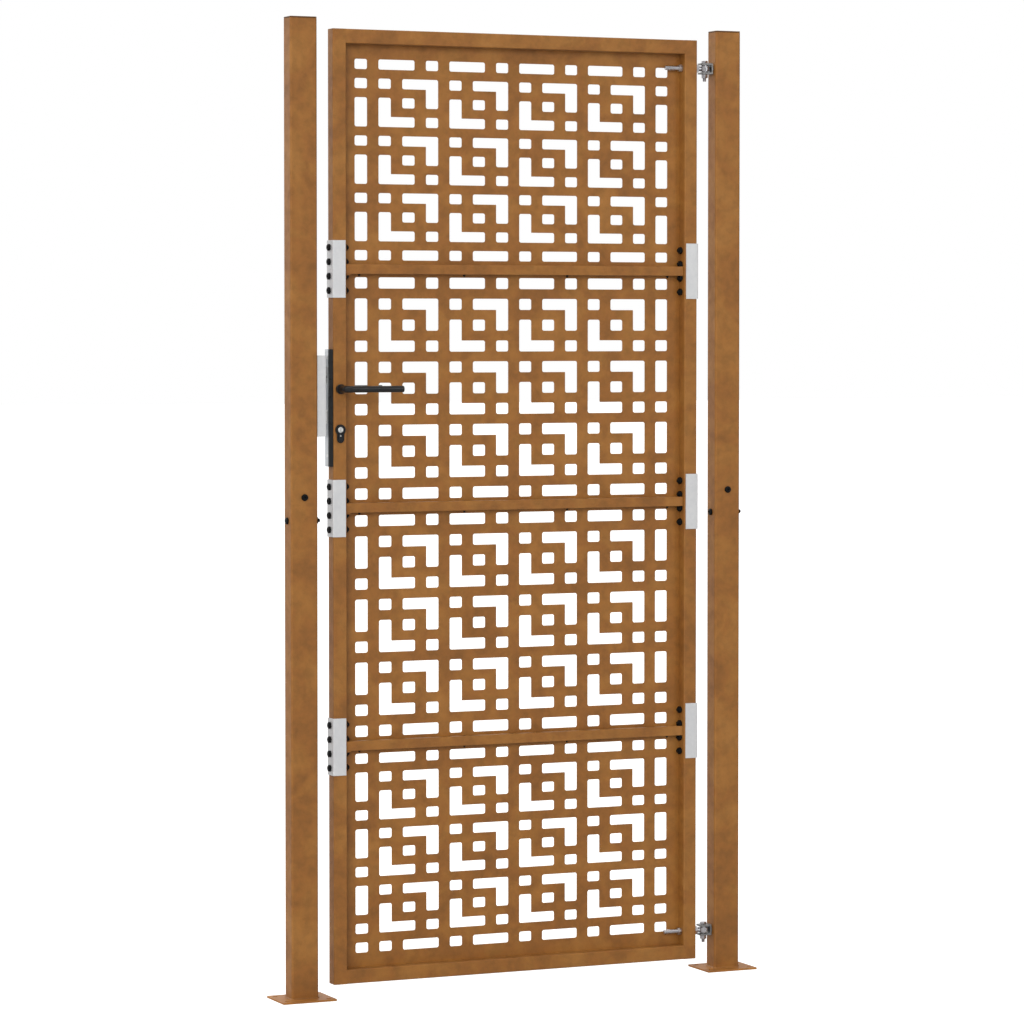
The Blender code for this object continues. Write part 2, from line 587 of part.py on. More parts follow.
def lock_cutters():
    """What the lock needs cut in the stile: a slot for its case, and holes front and back."""
    slot = block(
        (LEAF_LEFT - OVERSHOOT, -CASE_HALF - GAP, CASE_BOTTOM - GAP),
        (LEAF_LEFT + 2 * TUBE_WALL, CASE_HALF + GAP, CASE_TOP + GAP),
    )
    spindle = rod((SPINDLE_X, -TUBE, SPINDLE_Z), 2 * TUBE, SPINDLE_HOLE_RADIUS, 12, "Y")
    return [slot, spindle, plate([profile_cylinder(2 * GAP)], -TUBE, TUBE)]


def make_lock():
    """The lock body: a case inside the stile with a spacer outside it, behind a face plate."""
    spacer_front = LEAF_LEFT - GAP - LOCK_SPACER
    spacer = block((spacer_front, LOCK_FRONT, LOCK_BOTTOM), (LEAF_LEFT - GAP, LOCK_BACK, LOCK_TOP))
    case_front = spacer_front + LOCK_SPACER / 2
    case = block((case_front, -CASE_HALF, CASE_BOTTOM), (CASE_BACK_X, CASE_HALF, CASE_TOP))
    pocket_end = CASE_BACK_X - CASE_WALL
    pockets = [latch_box(2 * GAP, pocket_end), bolt_box(2 * GAP, pocket_end)]
    spindle = rod((SPINDLE_X, -TUBE, SPINDLE_Z), 2 * TUBE, SPINDLE_HOLE_RADIUS, 12, "Y")
    cylinder = plate([profile_cylinder(GAP)], -TUBE, TUBE)
    finish(cut(fused(spacer, case), *pockets, spindle, cylinder), "lock_case", BLACK, LEAF)

    face = block((LOCK_FACE_X, LOCK_FRONT, LOCK_BOTTOM), (LOCK_FACE_X + LOCK_PLATE, LOCK_BACK, LOCK_TOP))
    windows = [latch_box(GAP, SPINDLE_X), bolt_box(GAP, SPINDLE_X)]
    finish(cut(face, *windows), "lock_face_plate", LOCK_STEEL, LEAF)


def make_cylinder():
    """The profile cylinder with its turning plug and the two roses that frame it."""
    body = plate([profile_cylinder(0.0)], -CYLINDER_HALF, CYLINDER_HALF)
    bore = rod((SPINDLE_X, -TUBE, CYLINDER_Z), 2 * TUBE, PLUG_BORE, 20, "Y")
    finish(cut(body, bore), "lock_cylinder", LOCK_STEEL, LEAF)
    plug = rod((SPINDLE_X, -PLUG_HALF, CYLINDER_Z), 2 * PLUG_HALF, PLUG_RADIUS, 20, "Y")
    keyways = [
        block(
            (SPINDLE_X - KEYWAY_WIDTH / 2, y - KEYWAY_DEPTH, CYLINDER_Z - KEYWAY_HEIGHT / 2),
            (SPINDLE_X + KEYWAY_WIDTH / 2, y + KEYWAY_DEPTH, CYLINDER_Z + KEYWAY_HEIGHT / 2),
        )
        for y in (-PLUG_HALF, PLUG_HALF)
    ]
    finish(cut(plug, *keyways), "cylinder_plug", LOCK_STEEL, PLUG)
    for name, face in (("front_rose", -TUBE / 2 - GAP - ROSE_THICKNESS), ("back_rose", TUBE / 2 + GAP)):
        loops = [profile_cylinder(ROSE_OFFSET), profile_cylinder(GAP)]
        finish(plate(loops, face, face + ROSE_THICKNESS), name, BLACK, LEAF)


def make_bolts():
    """The sprung latch, out at rest with one bevelled corner, and the dead bolt, drawn in."""
    tip, half = LOCK_FACE_X - LATCH_OUT, LATCH_THICKNESS / 2
    back = tip + LATCH_LENGTH
    outline = [(tip, half), (tip, half - LATCH_LAND), (tip + LATCH_BEVEL, -half), (back, -half), (back, half)]
    low, high = LATCH_Z - LATCH_HEIGHT / 2, LATCH_Z + LATCH_HEIGHT / 2
    finish(plate([outline], low, high, "Z"), "latch_bolt", LOCK_STEEL, LATCH)
    bolt = block(
        (LOCK_FACE_X, -BOLT_THICKNESS / 2, BOLT_Z - BOLT_HEIGHT / 2),
        (LOCK_FACE_X + BOLT_LENGTH, BOLT_THICKNESS / 2, BOLT_Z + BOLT_HEIGHT / 2),
    )
    finish(bolt, "dead_bolt", LOCK_STEEL, DEAD_BOLT)


def make_levers():
    """Two lever handles on one square spindle; the levers are one shape turned half round."""
    half = SPINDLE_SIDE / 2
    spindle = block((-half, -SPINDLE_HALF, -half), (half, SPINDLE_HALF, half))
    finish(spindle, "lever_spindle", ZINC, LEVERS).location = (SPINDLE_X, 0, SPINDLE_Z)

    face, grip_y = -TUBE / 2 - GAP, -TUBE / 2 - GRIP_STANDOFF
    hub = rod((0, face - HUB_HEIGHT, 0), HUB_HEIGHT, HUB_RADIUS, 20, "Y")
    neck = rod((0, grip_y, 0), face - HUB_HEIGHT / 2 - grip_y, NECK_RADIUS, 16, "Y")
    grip = rod((-GRIP_RADIUS, grip_y, 0), GRIP_LENGTH + GRIP_RADIUS, GRIP_RADIUS, 12, "X", math.pi / 12)
    knuckle = rod((0, grip_y - GRIP_RADIUS, 0), GRIP_RADIUS + NECK_RADIUS / 2, NECK_RADIUS, 16, "Y")
    socket_half = half + GAP
    socket = block((-socket_half, -SPINDLE_HALF - GAP, -socket_half), (socket_half, 0, socket_half))
    shared = cut(fused(neck, hub, grip, knuckle), socket)
    mirrored = shared.copy()
    mirrored.transform(Matrix.Scale(-1, 4, (0, 1, 0)))
    mirrored.flip_normals()
    for name, mesh in (("lever_front", shared), ("lever_back", mirrored)):
        finish(mesh, name, BLACK, LEVERS).location = (SPINDLE_X, 0, SPINDLE_Z)


def make_keeper():
    """The keeper on the lock post: a short box of sheet, open for the latch and the dead bolt."""
    face = -POST_X + POST_WIDTH / 2
    low_x, high_x = face + GAP, face + KEEPER_OUT
    mesh = tube((low_x, -KEEPER_HALF, KEEPER_BOTTOM), (high_x, KEEPER_HALF, KEEPER_TOP), "Z", KEEPER_WALL)
    reach = LOCK_FACE_X - LATCH_OUT - POCKET_CLEARANCE
    half, tall = LATCH_THICKNESS / 2 + POCKET_CLEARANCE, LATCH_HEIGHT / 2 + POCKET_CLEARANCE
    pocket = block(
        (reach, -half, LATCH_Z - tall), (high_x + OVERSHOOT, KEEPER_HALF + OVERSHOOT, LATCH_Z + tall)
    )
    tall = BOLT_HEIGHT / 2 + POCKET_CLEARANCE
    slot = block((reach, -half, BOLT_Z - tall), (high_x + OVERSHOOT, half, BOLT_Z + tall))
    finish(cut(mesh, pocket, slot), "keeper", GALVANISED)


def build_gate():
    make_post("left", -POST_X)
    make_post("right", POST_X)
    make_keeper()
    make_stiles()
    make_rails_and_crossbars()
    for index, section in enumerate(SECTIONS):
        make_panel(index, section)
    make_brackets()
    for end, z in HINGE_Z.items():
        make_eyebolt(end, z)
        make_clevis(end, z)
        make_hinge_pin(end, z)
    make_lock()
    make_cylinder()
    make_bolts()
    make_levers()


build_gate()
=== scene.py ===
"""The looks of a garden gate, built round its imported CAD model.

Metres, +Z up, the front at -Y. Each fine piece is placed from the box of the CAD node that it
stands for, and rides on that node's body.
"""

import math

import bmesh
import bpy
from mathutils import Matrix, Vector


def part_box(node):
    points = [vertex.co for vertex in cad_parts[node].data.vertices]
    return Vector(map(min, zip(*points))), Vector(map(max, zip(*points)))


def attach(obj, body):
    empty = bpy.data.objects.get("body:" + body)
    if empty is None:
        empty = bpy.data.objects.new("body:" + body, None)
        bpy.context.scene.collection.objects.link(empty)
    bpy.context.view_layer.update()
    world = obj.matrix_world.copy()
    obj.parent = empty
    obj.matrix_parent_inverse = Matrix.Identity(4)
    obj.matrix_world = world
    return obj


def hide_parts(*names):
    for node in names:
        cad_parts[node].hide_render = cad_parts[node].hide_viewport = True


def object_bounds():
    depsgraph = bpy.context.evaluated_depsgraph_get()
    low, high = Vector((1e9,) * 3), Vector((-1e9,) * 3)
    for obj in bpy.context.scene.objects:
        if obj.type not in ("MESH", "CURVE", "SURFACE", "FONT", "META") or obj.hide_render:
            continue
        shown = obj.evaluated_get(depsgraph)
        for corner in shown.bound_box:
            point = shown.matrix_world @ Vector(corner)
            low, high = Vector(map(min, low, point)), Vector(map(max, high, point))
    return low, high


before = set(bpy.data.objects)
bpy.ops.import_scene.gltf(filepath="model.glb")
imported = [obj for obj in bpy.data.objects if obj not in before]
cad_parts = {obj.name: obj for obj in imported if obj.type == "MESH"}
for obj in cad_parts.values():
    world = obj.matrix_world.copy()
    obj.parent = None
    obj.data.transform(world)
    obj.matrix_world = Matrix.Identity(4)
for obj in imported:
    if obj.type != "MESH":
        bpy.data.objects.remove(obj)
cad_low, cad_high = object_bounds()

TAU = 2 * math.pi

# ---------------- materials


def set_stops(band, stops):
    """Gives a colour ramp its (place, colour) stops."""
    while len(band.elements) < len(stops):
        band.elements.new(0.5)
    for element, (place, colour) in zip(band.elements, stops):
        element.position = place
        element.color = (*colour, 1.0)


class Finish:
    """A procedural material. Its patterns are in metres of the gate's own frame."""

    def __init__(self, name, **uniform):
        self.material = bpy.data.materials.new(name)
        self.material.use_nodes = True
        self.tree = self.material.node_tree
        self.shader = self.tree.nodes["Principled BSDF"]
        for socket, value in uniform.items():
            self.shader.inputs[socket.replace("_", " ")].default_value = value
        self.place = self.tree.nodes.new("ShaderNodeTexCoord").outputs["Object"]

    def node(self, kind, inputs=(), **settings):
        made = self.tree.nodes.new(kind)
        for key, value in settings.items():
            setattr(made, key, value)
        for key, value in dict(inputs).items():
            if isinstance(value, bpy.types.NodeSocket):
                self.tree.links.new(value, made.inputs[key])
            else:
                made.inputs[key].default_value = value
        return made

    def noise(self, scale, detail=4.0, rough=0.55, place=None, warp=0.0):
        inputs = {"Scale": scale, "Detail": detail, "Roughness": rough, "Distortion": warp}
        inputs["Vector"] = place or self.place
        return self.node("ShaderNodeTexNoise", inputs).outputs["Fac"]

    def cells(self, scale):
        inputs = {"Scale": scale, "Vector": self.place}
        return self.node("ShaderNodeTexVoronoi", inputs).outputs["Color"]

    def ramp(self, factor, *stops):
        made = self.node("ShaderNodeValToRGB", {"Fac": factor})
        set_stops(made.color_ramp, stops)
        return made.outputs["Color"]

    def mix(self, share, first, second, blend="MIX"):
        inputs = {0: share, 6: first, 7: second}
        return self.node("ShaderNodeMix", inputs, data_type="RGBA", blend_type=blend).outputs[2]

    def range(self, value, low, high, out_low, out_high):
        inputs = {0: value, 1: low, 2: high, 3: out_low, 4: out_high}
        return self.node("ShaderNodeMapRange", inputs).outputs[0]

    def set(self, socket, value):
        self.tree.links.new(value, self.shader.inputs[socket])

    def bump(self, height, strength, distance):
        inputs = {"Height": height, "Strength": strength, "Distance": distance}
        before = self.shader.inputs["Normal"].links
        if before:
            inputs["Normal"] = before[0].from_socket
        self.set("Normal", self.node("ShaderNodeBump", inputs).outputs[0])


# Linear colours, from the darkest cloud to the lightest.
RUST_TONES = [
    (0.208, 0.081, 0.0150), (0.238, 0.092, 0.0165), (0.260, 0.106, 0.0190), (0.286, 0.121, 0.0240),
]


def rust_finish(name, shade=1.0):
    """A matt rust-brown coat: soft clouds, smaller blotches and a fine grain."""
    made = Finish(name, Metallic=0.0, Specular_IOR_Level=0.42)
    clouds = made.noise(11.0, 5.0, 0.62, warp=0.6)
    blotches = made.noise(46.0, 6.0, 0.62, warp=0.2)
    grain = made.noise(900.0, 3.0, 0.6)
    tones = [tuple(shade * c for c in tone) for tone in RUST_TONES]
    broad = made.ramp(clouds, *zip((0.34, 0.46, 0.55, 0.68), tones))
    worn, pale = (0.86, 0.88, 0.92), (1.10, 1.08, 1.04)
    patch = made.ramp(blotches, (0.36, worn), (0.52, (1.0, 1.0, 1.0)), (0.70, pale))
    speck = made.ramp(grain, (0.30, (0.90, 0.90, 0.90)), (0.70, (1.08, 1.08, 1.08)))
    colour = made.mix(1.0, made.mix(1.0, broad, patch, "MULTIPLY"), speck, "MULTIPLY")
    made.set("Base Color", colour)
    made.set("Roughness", made.range(blotches, 0.3, 0.7, 0.62, 0.50))
    made.bump(blotches, 0.10, 0.0006)
    made.bump(grain, 0.16, 0.00012)
    return made.material


def galvanised_finish(name):
    """Galvanised sheet: pale, satin, with faint crystals a few millimetres wide."""
    made = Finish(name, Metallic=0.30)
    crystals = made.cells(170.0)
    cloud = made.noise(30.0, 4.0)
    tint = made.ramp(crystals, (0.0, (0.575, 0.58, 0.585)), (1.0, (0.622, 0.622, 0.622)))
    shade = made.ramp(cloud, (0.3, (0.94, 0.94, 0.95)), (0.7, (1.0, 1.0, 1.0)))
    made.set("Base Color", made.mix(1.0, tint, shade, "MULTIPLY"))
    made.set("Roughness", made.range(crystals, 0.0, 1.0, 0.38, 0.52))
    made.bump(made.noise(700.0, 2.0), 0.08, 0.00008)
    return made.material


def worn_finish(made, scale, stops, low, high, grain, strength):
    """A finish whose tone and gloss change together where it is worn, over a fine grain."""
    wear = made.noise(scale, 5.0, 0.6)
    made.set("Base Color", made.ramp(wear, *stops))
    made.set("Roughness", made.range(wear, 0.3, 0.7, low, high))
    made.bump(made.noise(grain, 2.0), strength, 0.00005)
    return made.material


def plated_finish(name, colour, low, high):
    """Bright plated or drawn steel with fine handling marks."""
    stops = (0.3, tuple(0.82 * c for c in colour)), (0.65, colour)
    return worn_finish(Finish(name, Metallic=1.0), 160.0, stops, low, high, 1500.0, 0.06)


def brushed_finish(name, colour, along):
    """Brushed steel, with its lines along one axis."""
    made = Finish(name, Metallic=0.55)
    thin = [0.02 if axis == along else 1.0 for axis in "XYZ"]
    place = made.node("ShaderNodeMapping", {"Vector": made.place, "Scale": thin}).outputs[0]
    lines = made.noise(2600.0, 3.0, 0.6, place)
    cloud = made.noise(40.0, 4.0)
    dark = tuple(0.84 * c for c in colour)
    tone = made.ramp(lines, (0.3, dark), (0.7, colour))
    made.set("Base Color", made.mix(0.25, tone, made.ramp(cloud, (0.3, dark), (0.7, colour))))
    made.set("Roughness", made.range(lines, 0.3, 0.7, 0.28, 0.44))
    made.bump(lines, 0.10, 0.00004)
    return made.material


def black_finish(name, low, high, tone, gloss):
    """Black coated steel, a little uneven and worn to a lighter grey."""
    stops = (0.35, (tone, tone, tone * 1.05)), (0.75, (tone * 1.7, tone * 1.7, tone * 1.8))
    made = Finish(name, Metallic=0.0, Specular_IOR_Level=gloss)
    return worn_finish(made, 120.0, stops, low, high, 1300.0, 0.07)


RUST = rust_finish("weathering_steel_coat")
DARK = rust_finish("dark_steel_coat", 0.42)
WELD = rust_finish("weld_coat", 0.90)
# The base plates get the same rust painted 1.32 times lighter all over: painted light that stands in for the
# light falling on their tops.
LIT_FOOT_RUST = rust_finish("base_plate_coat_painted_light", 1.32)
GALVANISED = galvanised_finish("galvanised_sheet")
ZINC = plated_finish("zinc_plate", (0.62, 0.61, 0.63), 0.24, 0.38)
STEEL = brushed_finish("lock_steel_face", (0.70, 0.74, 0.77), "Z")
CORE = plated_finish("nickel_plate", (0.95, 0.95, 0.93), 0.24, 0.36)
# The hinge clevis gets the zinc plate painted about half as bright, as painted shade for the dim light on its
# front; only its rougher gloss is real.
DULL_SHADED_ZINC = plated_finish("dull_shaded_zinc_plate", (0.34, 0.335, 0.33), 0.40, 0.55)
GUNMETAL = plated_finish("gunmetal_plate", (0.045, 0.047, 0.052), 0.26, 0.38)
BLACK = black_finish("black_coat", 0.26, 0.34, 0.0060, 0.34)
BOLT_BLACK = black_finish("black_oxide", 0.36, 0.48, 0.0035, 0.12)

# ---------------- mesh code


def mesh_of(points, faces):
    made = bpy.data.meshes.new("shape")
    made.from_pydata([tuple(p) for p in points], [], faces)
    return tidied(made)


def tidied(mesh):
    """The mesh with doubled points joined and its faces turned out."""
    shape = bmesh.new()
    shape.from_mesh(mesh)
    bmesh.ops.remove_doubles(shape, verts=shape.verts, dist=1e-6)
    bmesh.ops.dissolve_degenerate(shape, edges=shape.edges, dist=1e-7)
    bmesh.ops.recalc_face_normals(shape, faces=shape.faces)
    shape.to_mesh(mesh)
    shape.free()
    return mesh


def joined(*meshes):
    """Several closed solids in one mesh."""
    shape = bmesh.new()
    for mesh in meshes:
        shape.from_mesh(mesh)
    made = bpy.data.meshes.new("joined")
    shape.to_mesh(made)
    shape.free()
    return made


def moved(mesh, matrix):
    made = mesh.copy()
    made.transform(matrix)
    return made


def shifted(mesh, x=0.0, y=0.0, z=0.0):
    return moved(mesh, Matrix.Translation((x, y, z)))


def aimed(mesh, place, towards, turn=0.0):
    """A shape built along +Z, turned about itself, pointed some way and set down."""
    spin = Matrix.Rotation(turn, 4, "Z")
    point = Vector(towards).to_track_quat("Z", "X").to_matrix().to_4x4()
    return moved(mesh, Matrix.Translation(Vector(place)) @ point @ spin)


def placed(name, data):
    """A new object in the scene."""
    made = bpy.data.objects.new(name, data)
    bpy.context.scene.collection.objects.link(made)
    return made


def evaluated(thing):
    """The object's mesh with its modifiers applied; the object goes."""
    bpy.context.view_layer.update()
    graph = bpy.context.evaluated_depsgraph_get()
    mesh = bpy.data.meshes.new_from_object(thing.evaluated_get(graph))
    mesh.transform(thing.matrix_world)
    bpy.data.objects.remove(thing)
    return mesh


def combine(base, others, operation):
    thing = placed("work", base)
    tools = []
    for other in others:
        tool = placed("tool", other)
        tools.append(tool)
        step = thing.modifiers.new("step", "BOOLEAN")
        step.operation, step.object, step.solver = operation, tool, "EXACT"
    made = evaluated(thing)
    for tool in tools:
        bpy.data.objects.remove(tool)
    return tidied(made)


def cut(base, *others):
    return combine(base, others, "DIFFERENCE")


def fused(base, *others):
    return combine(base, others, "UNION")


def rectangle(left, bottom, right, top):
    return [(left, bottom), (right, bottom), (right, top), (left, top)]


def rounded(corners, radius, steps=5):
    """A polygon with its corners rounded, all by one radius or each by its own."""
    radii = radius if isinstance(radius, (list, tuple)) else [radius] * len(corners)
    loop = []
    for k, (corner, r) in enumerate(zip(corners, radii)):
        here = Vector(corner)
        back = (Vector(corners[k - 1]) - here).normalized()
        on = (Vector(corners[(k + 1) % len(corners)]) - here).normalized()
        half = back.angle(on) / 2
        centre = here + (back + on).normalized() * (r / math.sin(half))
        along = r / math.tan(half)
        first, last = back * along + here - centre, on * along + here - centre
        start, end = math.atan2(first.y, first.x), math.atan2(last.y, last.x)
        sweep = (end - start + math.pi) % TAU - math.pi
        for s in range(steps + 1):
            t = start + sweep * s / steps
            loop.append((centre.x + r * math.cos(t), centre.y + r * math.sin(t)))
    return loop


def circle(u, v, radius, steps=24):
    turns = [TAU * k / steps for k in range(steps)]
    return [(u + radius * math.cos(t), v + radius * math.sin(t)) for t in turns]


STAND = {
    "X": Matrix.Rotation(math.pi / 2, 4, "Z") @ Matrix.Rotation(math.pi / 2, 4, "X"),
    "Y": Matrix.Rotation(math.pi / 2, 4, "X"),
    "Z": Matrix.Identity(4),
}


def plate(loops, low, high, axis="Z", edge=0.0002, rounds=0):
    """A solid with these outlines, holes included, between two places along an axis.

    The outline is in the other two axes, in XYZ order. Its rims are broken by a small bevel.
    """
    flat = bpy.data.curves.new("outline", "CURVE")
    flat.dimensions, flat.fill_mode = "2D", "BOTH"
    flat.bevel_depth, flat.bevel_resolution, flat.offset = edge, rounds, -edge
    flat.extrude = (high - low) / 2 - edge
    for loop in loops:
        spline = flat.splines.new("POLY")
        spline.points.add(len(loop) - 1)
        for point, (u, v) in zip(spline.points, loop):
            point.co = (u, v, 0.0, 1.0)
        spline.use_cyclic_u = True
    thing = placed("plate", flat)
    middle = Vector([(low + high) / 2 if name == axis else 0.0 for name in "XYZ"])
    thing.matrix_world = Matrix.Translation(middle) @ STAND[axis]
    return tidied(evaluated(thing))


def spans(low, high, axis):
    """The low and high places in the two axes other than this one, as one rectangle."""
    u, v = [k for k in range(3) if "XYZ"[k] != axis]
    return low[u], low[v], high[u], high[v]


def tube(low, high, axis, wall, radius, edge=0.00025, steps=5):
    """A rectangular tube with rounded corners and broken ends, between two corners."""
    left, bottom, right, top = spans(low, high, axis)
    radii = radius if isinstance(radius, list) else [radius] * 4
    outer = rounded(rectangle(left, bottom, right, top), radii, steps)
    inside = rectangle(left + wall, bottom + wall, right - wall, top - wall)
    inner = rounded(inside, [max(r - wall, 0.0003) for r in radii], steps)
    k = "XYZ".index(axis)
    return plate([outer, inner], low[k], high[k], axis, edge)


def bar(low, high, axis, radius, edge=0.0004, rounds=1, steps=4):
    """A solid rectangular bar with rounded long edges and broken ends."""
    k = "XYZ".index(axis)
    outline = rounded(rectangle(*spans(low, high, axis)), radius, steps)
    return plate([outline], low[k], high[k], axis, edge, rounds)


def box_mesh(low, high):
    x0, y0, z0 = low
    x1, y1, z1 = high
    points = [(x, y, z) for x in (x0, x1) for y in (y0, y1) for z in (z0, z1)]
    sides = [(0, 1, 3, 2), (4, 6, 7, 5), (0, 4, 5, 1), (2, 3, 7, 6), (0, 2, 6, 4), (1, 5, 7, 3)]
    return mesh_of(points, sides)


def stitched(rows):
    """The faces between neighbouring rows of points that each go round once."""
    faces = []
    for low, high in zip(rows, rows[1:]):
        for k in range(len(low)):
            n = (k + 1) % len(low)
            corners = [low[k], low[n], high[n], high[k]]
            faces.append(tuple(dict.fromkeys(corners)))
    return faces


def turned(profile, steps=32, ring=False):
    """A solid turned about Z. Each entry is (radius, height), or a function of the angle that
    gives them; a ring also joins its last entry to its first."""
    points, rows = [], []
    for entry in profile:
        if not callable(entry) and entry[0] < 1e-9:
            rows.append([len(points)] * steps)
            points.append((0.0, 0.0, entry[1]))
            continue
        rows.append(list(range(len(points), len(points) + steps)))
        for k in range(steps):
            t = TAU * k / steps
            radius, height = entry(t) if callable(entry) else entry
            points.append((radius * math.cos(t), radius * math.sin(t), height))
    return mesh_of(points, stitched(rows + rows[:1] if ring else rows))


def rod(radius, length, chamfer=0.0004, steps=24):
    """A plain round rod from the origin up, with chamfered ends."""
    c = chamfer
    profile = [(0, 0), (radius - c, 0), (radius, c), (radius, length - c), (radius - c, length), (0, length)]
    return turned(profile, steps)


def thread(radius, length, pitch, steps=24, per_pitch=4):
    """A threaded rod from the origin up, with its thread run out at both ends."""
    depth = 0.54 * pitch
    rows = max(2, round(length / pitch * per_pitch))

    def row(height):
        run_out = min(height, length - height)

        def at(t):
            wave = abs(2 * ((height / pitch - t / TAU) % 1.0) - 1)
            cap = radius - depth + min(depth, run_out * 1.2)
            return min(radius - depth * wave, cap), height

        return at

    profile = [(0, 0), *[row(length * k / rows) for k in range(rows + 1)], (0, length)]
    return turned(profile, steps)


def hexagon(t, half):
    """How far a hexagon reaches at an angle, from half its width across the flats."""
    return half / math.cos((t % (TAU / 6)) - TAU / 12)


def nut(flats, height, bore, steps=48):
    """A hexagon nut from the origin up, chamfered on both faces. With no bore it is a bolt head."""
    face = 0.95 * flats / 2

    def rim(at_top):
        def at(t):
            reach = hexagon(t, flats / 2)
            drop = (reach - face) * math.tan(math.radians(28))
            return reach, height - drop if at_top else drop

        return at

    if bore <= 0:
        return turned([(0, 0), (face, 0), rim(False), rim(True), (face, height), (0, height)], steps)
    lip = 0.1 * bore
    inner = [(bore, height - lip), (bore, lip)]
    return turned(
        [(bore + lip, 0), (face, 0), rim(False), rim(True), (face, height), (bore + lip, height), *inner],
        steps, ring=True,
    )


def washer(inner, outer, height, steps=36):
    c = min(0.0003, height / 4)
    return turned(
        [(inner, 0), (outer - c, 0), (outer, c), (outer, height - c), (outer - c, height), (inner, height)],
        steps, ring=True,
    )


def button_head(radius, height, socket=0.005, steps=36):
    """A domed head from the origin up, with a hexagon socket in it."""
    skirt, crown = 0.46 * height, 0.62 * radius
    arc = []
    for k in range(9):
        t = math.pi / 2 * k / 8
        arc.append((crown + (radius - crown) * math.cos(t), skirt + (height - skirt) * math.sin(t)))
    across, depth = socket / 2, 0.55 * height

    def wall(level):
        return lambda t: (hexagon(t, across), level)

    hollow = [(across * 1.32, height), wall(height - 0.0003), wall(height - depth)]
    under = [(0, 0), (radius - 0.0004, 0), (radius, 0.0003)]
    return turned([*under, *arc, *hollow, (0, height - depth - 0.0004)], steps)


def swept(path, radii, steps):
    """A round bar that follows a path, with a radius at each point. Its ends are closed."""
    path = [Vector(p) for p in path]
    points, side = [], None
    for k, here in enumerate(path):
        ahead = (path[min(k + 1, len(path) - 1)] - path[max(k - 1, 0)]).normalized()
        if side is None:
            side = ahead.orthogonal().normalized()
        side = (side - ahead * side.dot(ahead)).normalized()
        up = ahead.cross(side)
        for s in range(steps):
            t = TAU * s / steps
            points.append(here + radii[k] * (side * math.cos(t) + up * math.sin(t)))
    rows = [range(first, first + steps) for first in range(0, len(points), steps)]
    return mesh_of(points, [*stitched(rows), tuple(reversed(rows[0])), tuple(rows[-1])])


def bead(loop, leg, base, ripple=0.12, pitch=0.0028):
    """A fillet weld on the plane z = base round a closed loop that runs anticlockwise."""
    total, path = 0.0, []
    count = len(loop)
    for k in range(count):
        here, on = Vector(loop[k]), Vector(loop[(k + 1) % count])
        length = (on - here).length
        pieces = max(1, round(length / (pitch / 4)))
        for s in range(pieces):
            path.append((here.lerp(on, s / pieces), total + length * s / pieces))
        total += length
    points = []
    for k, (here, run) in enumerate(path):
        along = (path[(k + 1) % len(path)][0] - path[k - 1][0]).normalized()
        out = Vector((along.y, -along.x))
        scale = 1.0 - ripple * abs(math.sin(math.pi * run / pitch)) + 0.10 * math.sin(run * 90.0)
        reach = leg * scale
        round_side = [(0.72 * reach, 0.46 * reach), (0.40 * reach, 0.78 * reach)]
        shape = [(-0.0004, 0.0), (reach, 0.0), *round_side, (-0.0004, reach)]
        for u, v in shape:
            points.append((here.x + out.x * u, here.y + out.y * u, base + v))
    rows = [range(first, first + len(shape)) for first in range(0, len(points), len(shape))]
    return mesh_of(points, stitched(rows + rows[:1]))


# ---------------- pieces


def finish(mesh, name, material, body, *nodes, sharp=28.0):
    """One piece of the gate: sharp at its edges, smooth where it is round, and on its body."""
    made = placed(name, mesh)
    mesh.name = name
    mesh.materials.clear()
    mesh.materials.append(material)
    mesh.shade_smooth()
    mesh.set_sharp_from_angle(angle=math.radians(sharp))
    flat = made.modifiers.new("flat_faces", "WEIGHTED_NORMAL")
    flat.keep_sharp = True
    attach(made, body)
    if nodes:
        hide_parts(*nodes)


def fine(mesh, node, material, body, **settings):
    """The piece that stands for one node of the CAD model."""
    finish(mesh, f"fine_{node}", material, body, node, **settings)


def middle(node):
    low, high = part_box(node)
    return (low + high) / 2


def hole(radius, axis, place, reach):
    """A round cutter along an axis through a place."""
    direction = Vector([1.0 if name == axis else 0.0 for name in "XYZ"])
    start = Vector(place) - direction * reach
    return aimed(rod(radius, 2 * reach, 0.0, 20), start, direction)


POST_WALL, POST_RADIUS, HAIRLINE = 0.0015, 0.0042, 0.00001
TUBE_HALF, TUBE_WALL, TUBE_RADIUS = 0.015, 0.0015, 0.0024
GAP, DRILL_EXTRA = 0.0003, 0.0003
BOLT, BOLT_PITCH = 0.004, 0.00125
BOLT_HEAD_RADIUS, BOLT_HEAD_HEIGHT, BRACKET_HEAD_HEIGHT = 0.0072, 0.0048, 0.0054
NUT_FLATS, NUT_HEIGHT = 0.013, 0.0065


def cross_bolt(start, end, nut_from, axis_sign=1.0, head_height=BOLT_HEAD_HEIGHT):
    """A button-head bolt along X with its nut. start is under the head, end is its tip."""
    direction = (axis_sign, 0, 0)
    length = abs(end - start)
    head = aimed(button_head(BOLT_HEAD_RADIUS, head_height), (0, 0, 0), (-axis_sign, 0, 0))
    plain = abs(nut_from - start) - 0.0005
    shank = aimed(rod(BOLT - 0.0001, plain), (-axis_sign * 0.0003, 0, 0), direction)
    tail = aimed(thread(BOLT, length - plain, BOLT_PITCH, 20), (axis_sign * plain, 0, 0), direction)
    fixing = aimed(nut(NUT_FLATS, NUT_HEIGHT, BOLT), (nut_from - start, 0, 0), direction)
    return shifted(joined(head, shank, tail, fixing), start)


ANCHOR_X, ANCHOR_Y, ANCHOR_RADIUS = 0.046, 0.036, 0.005
PLATE_CORNER, WELD_LEG = 0.003, 0.0028


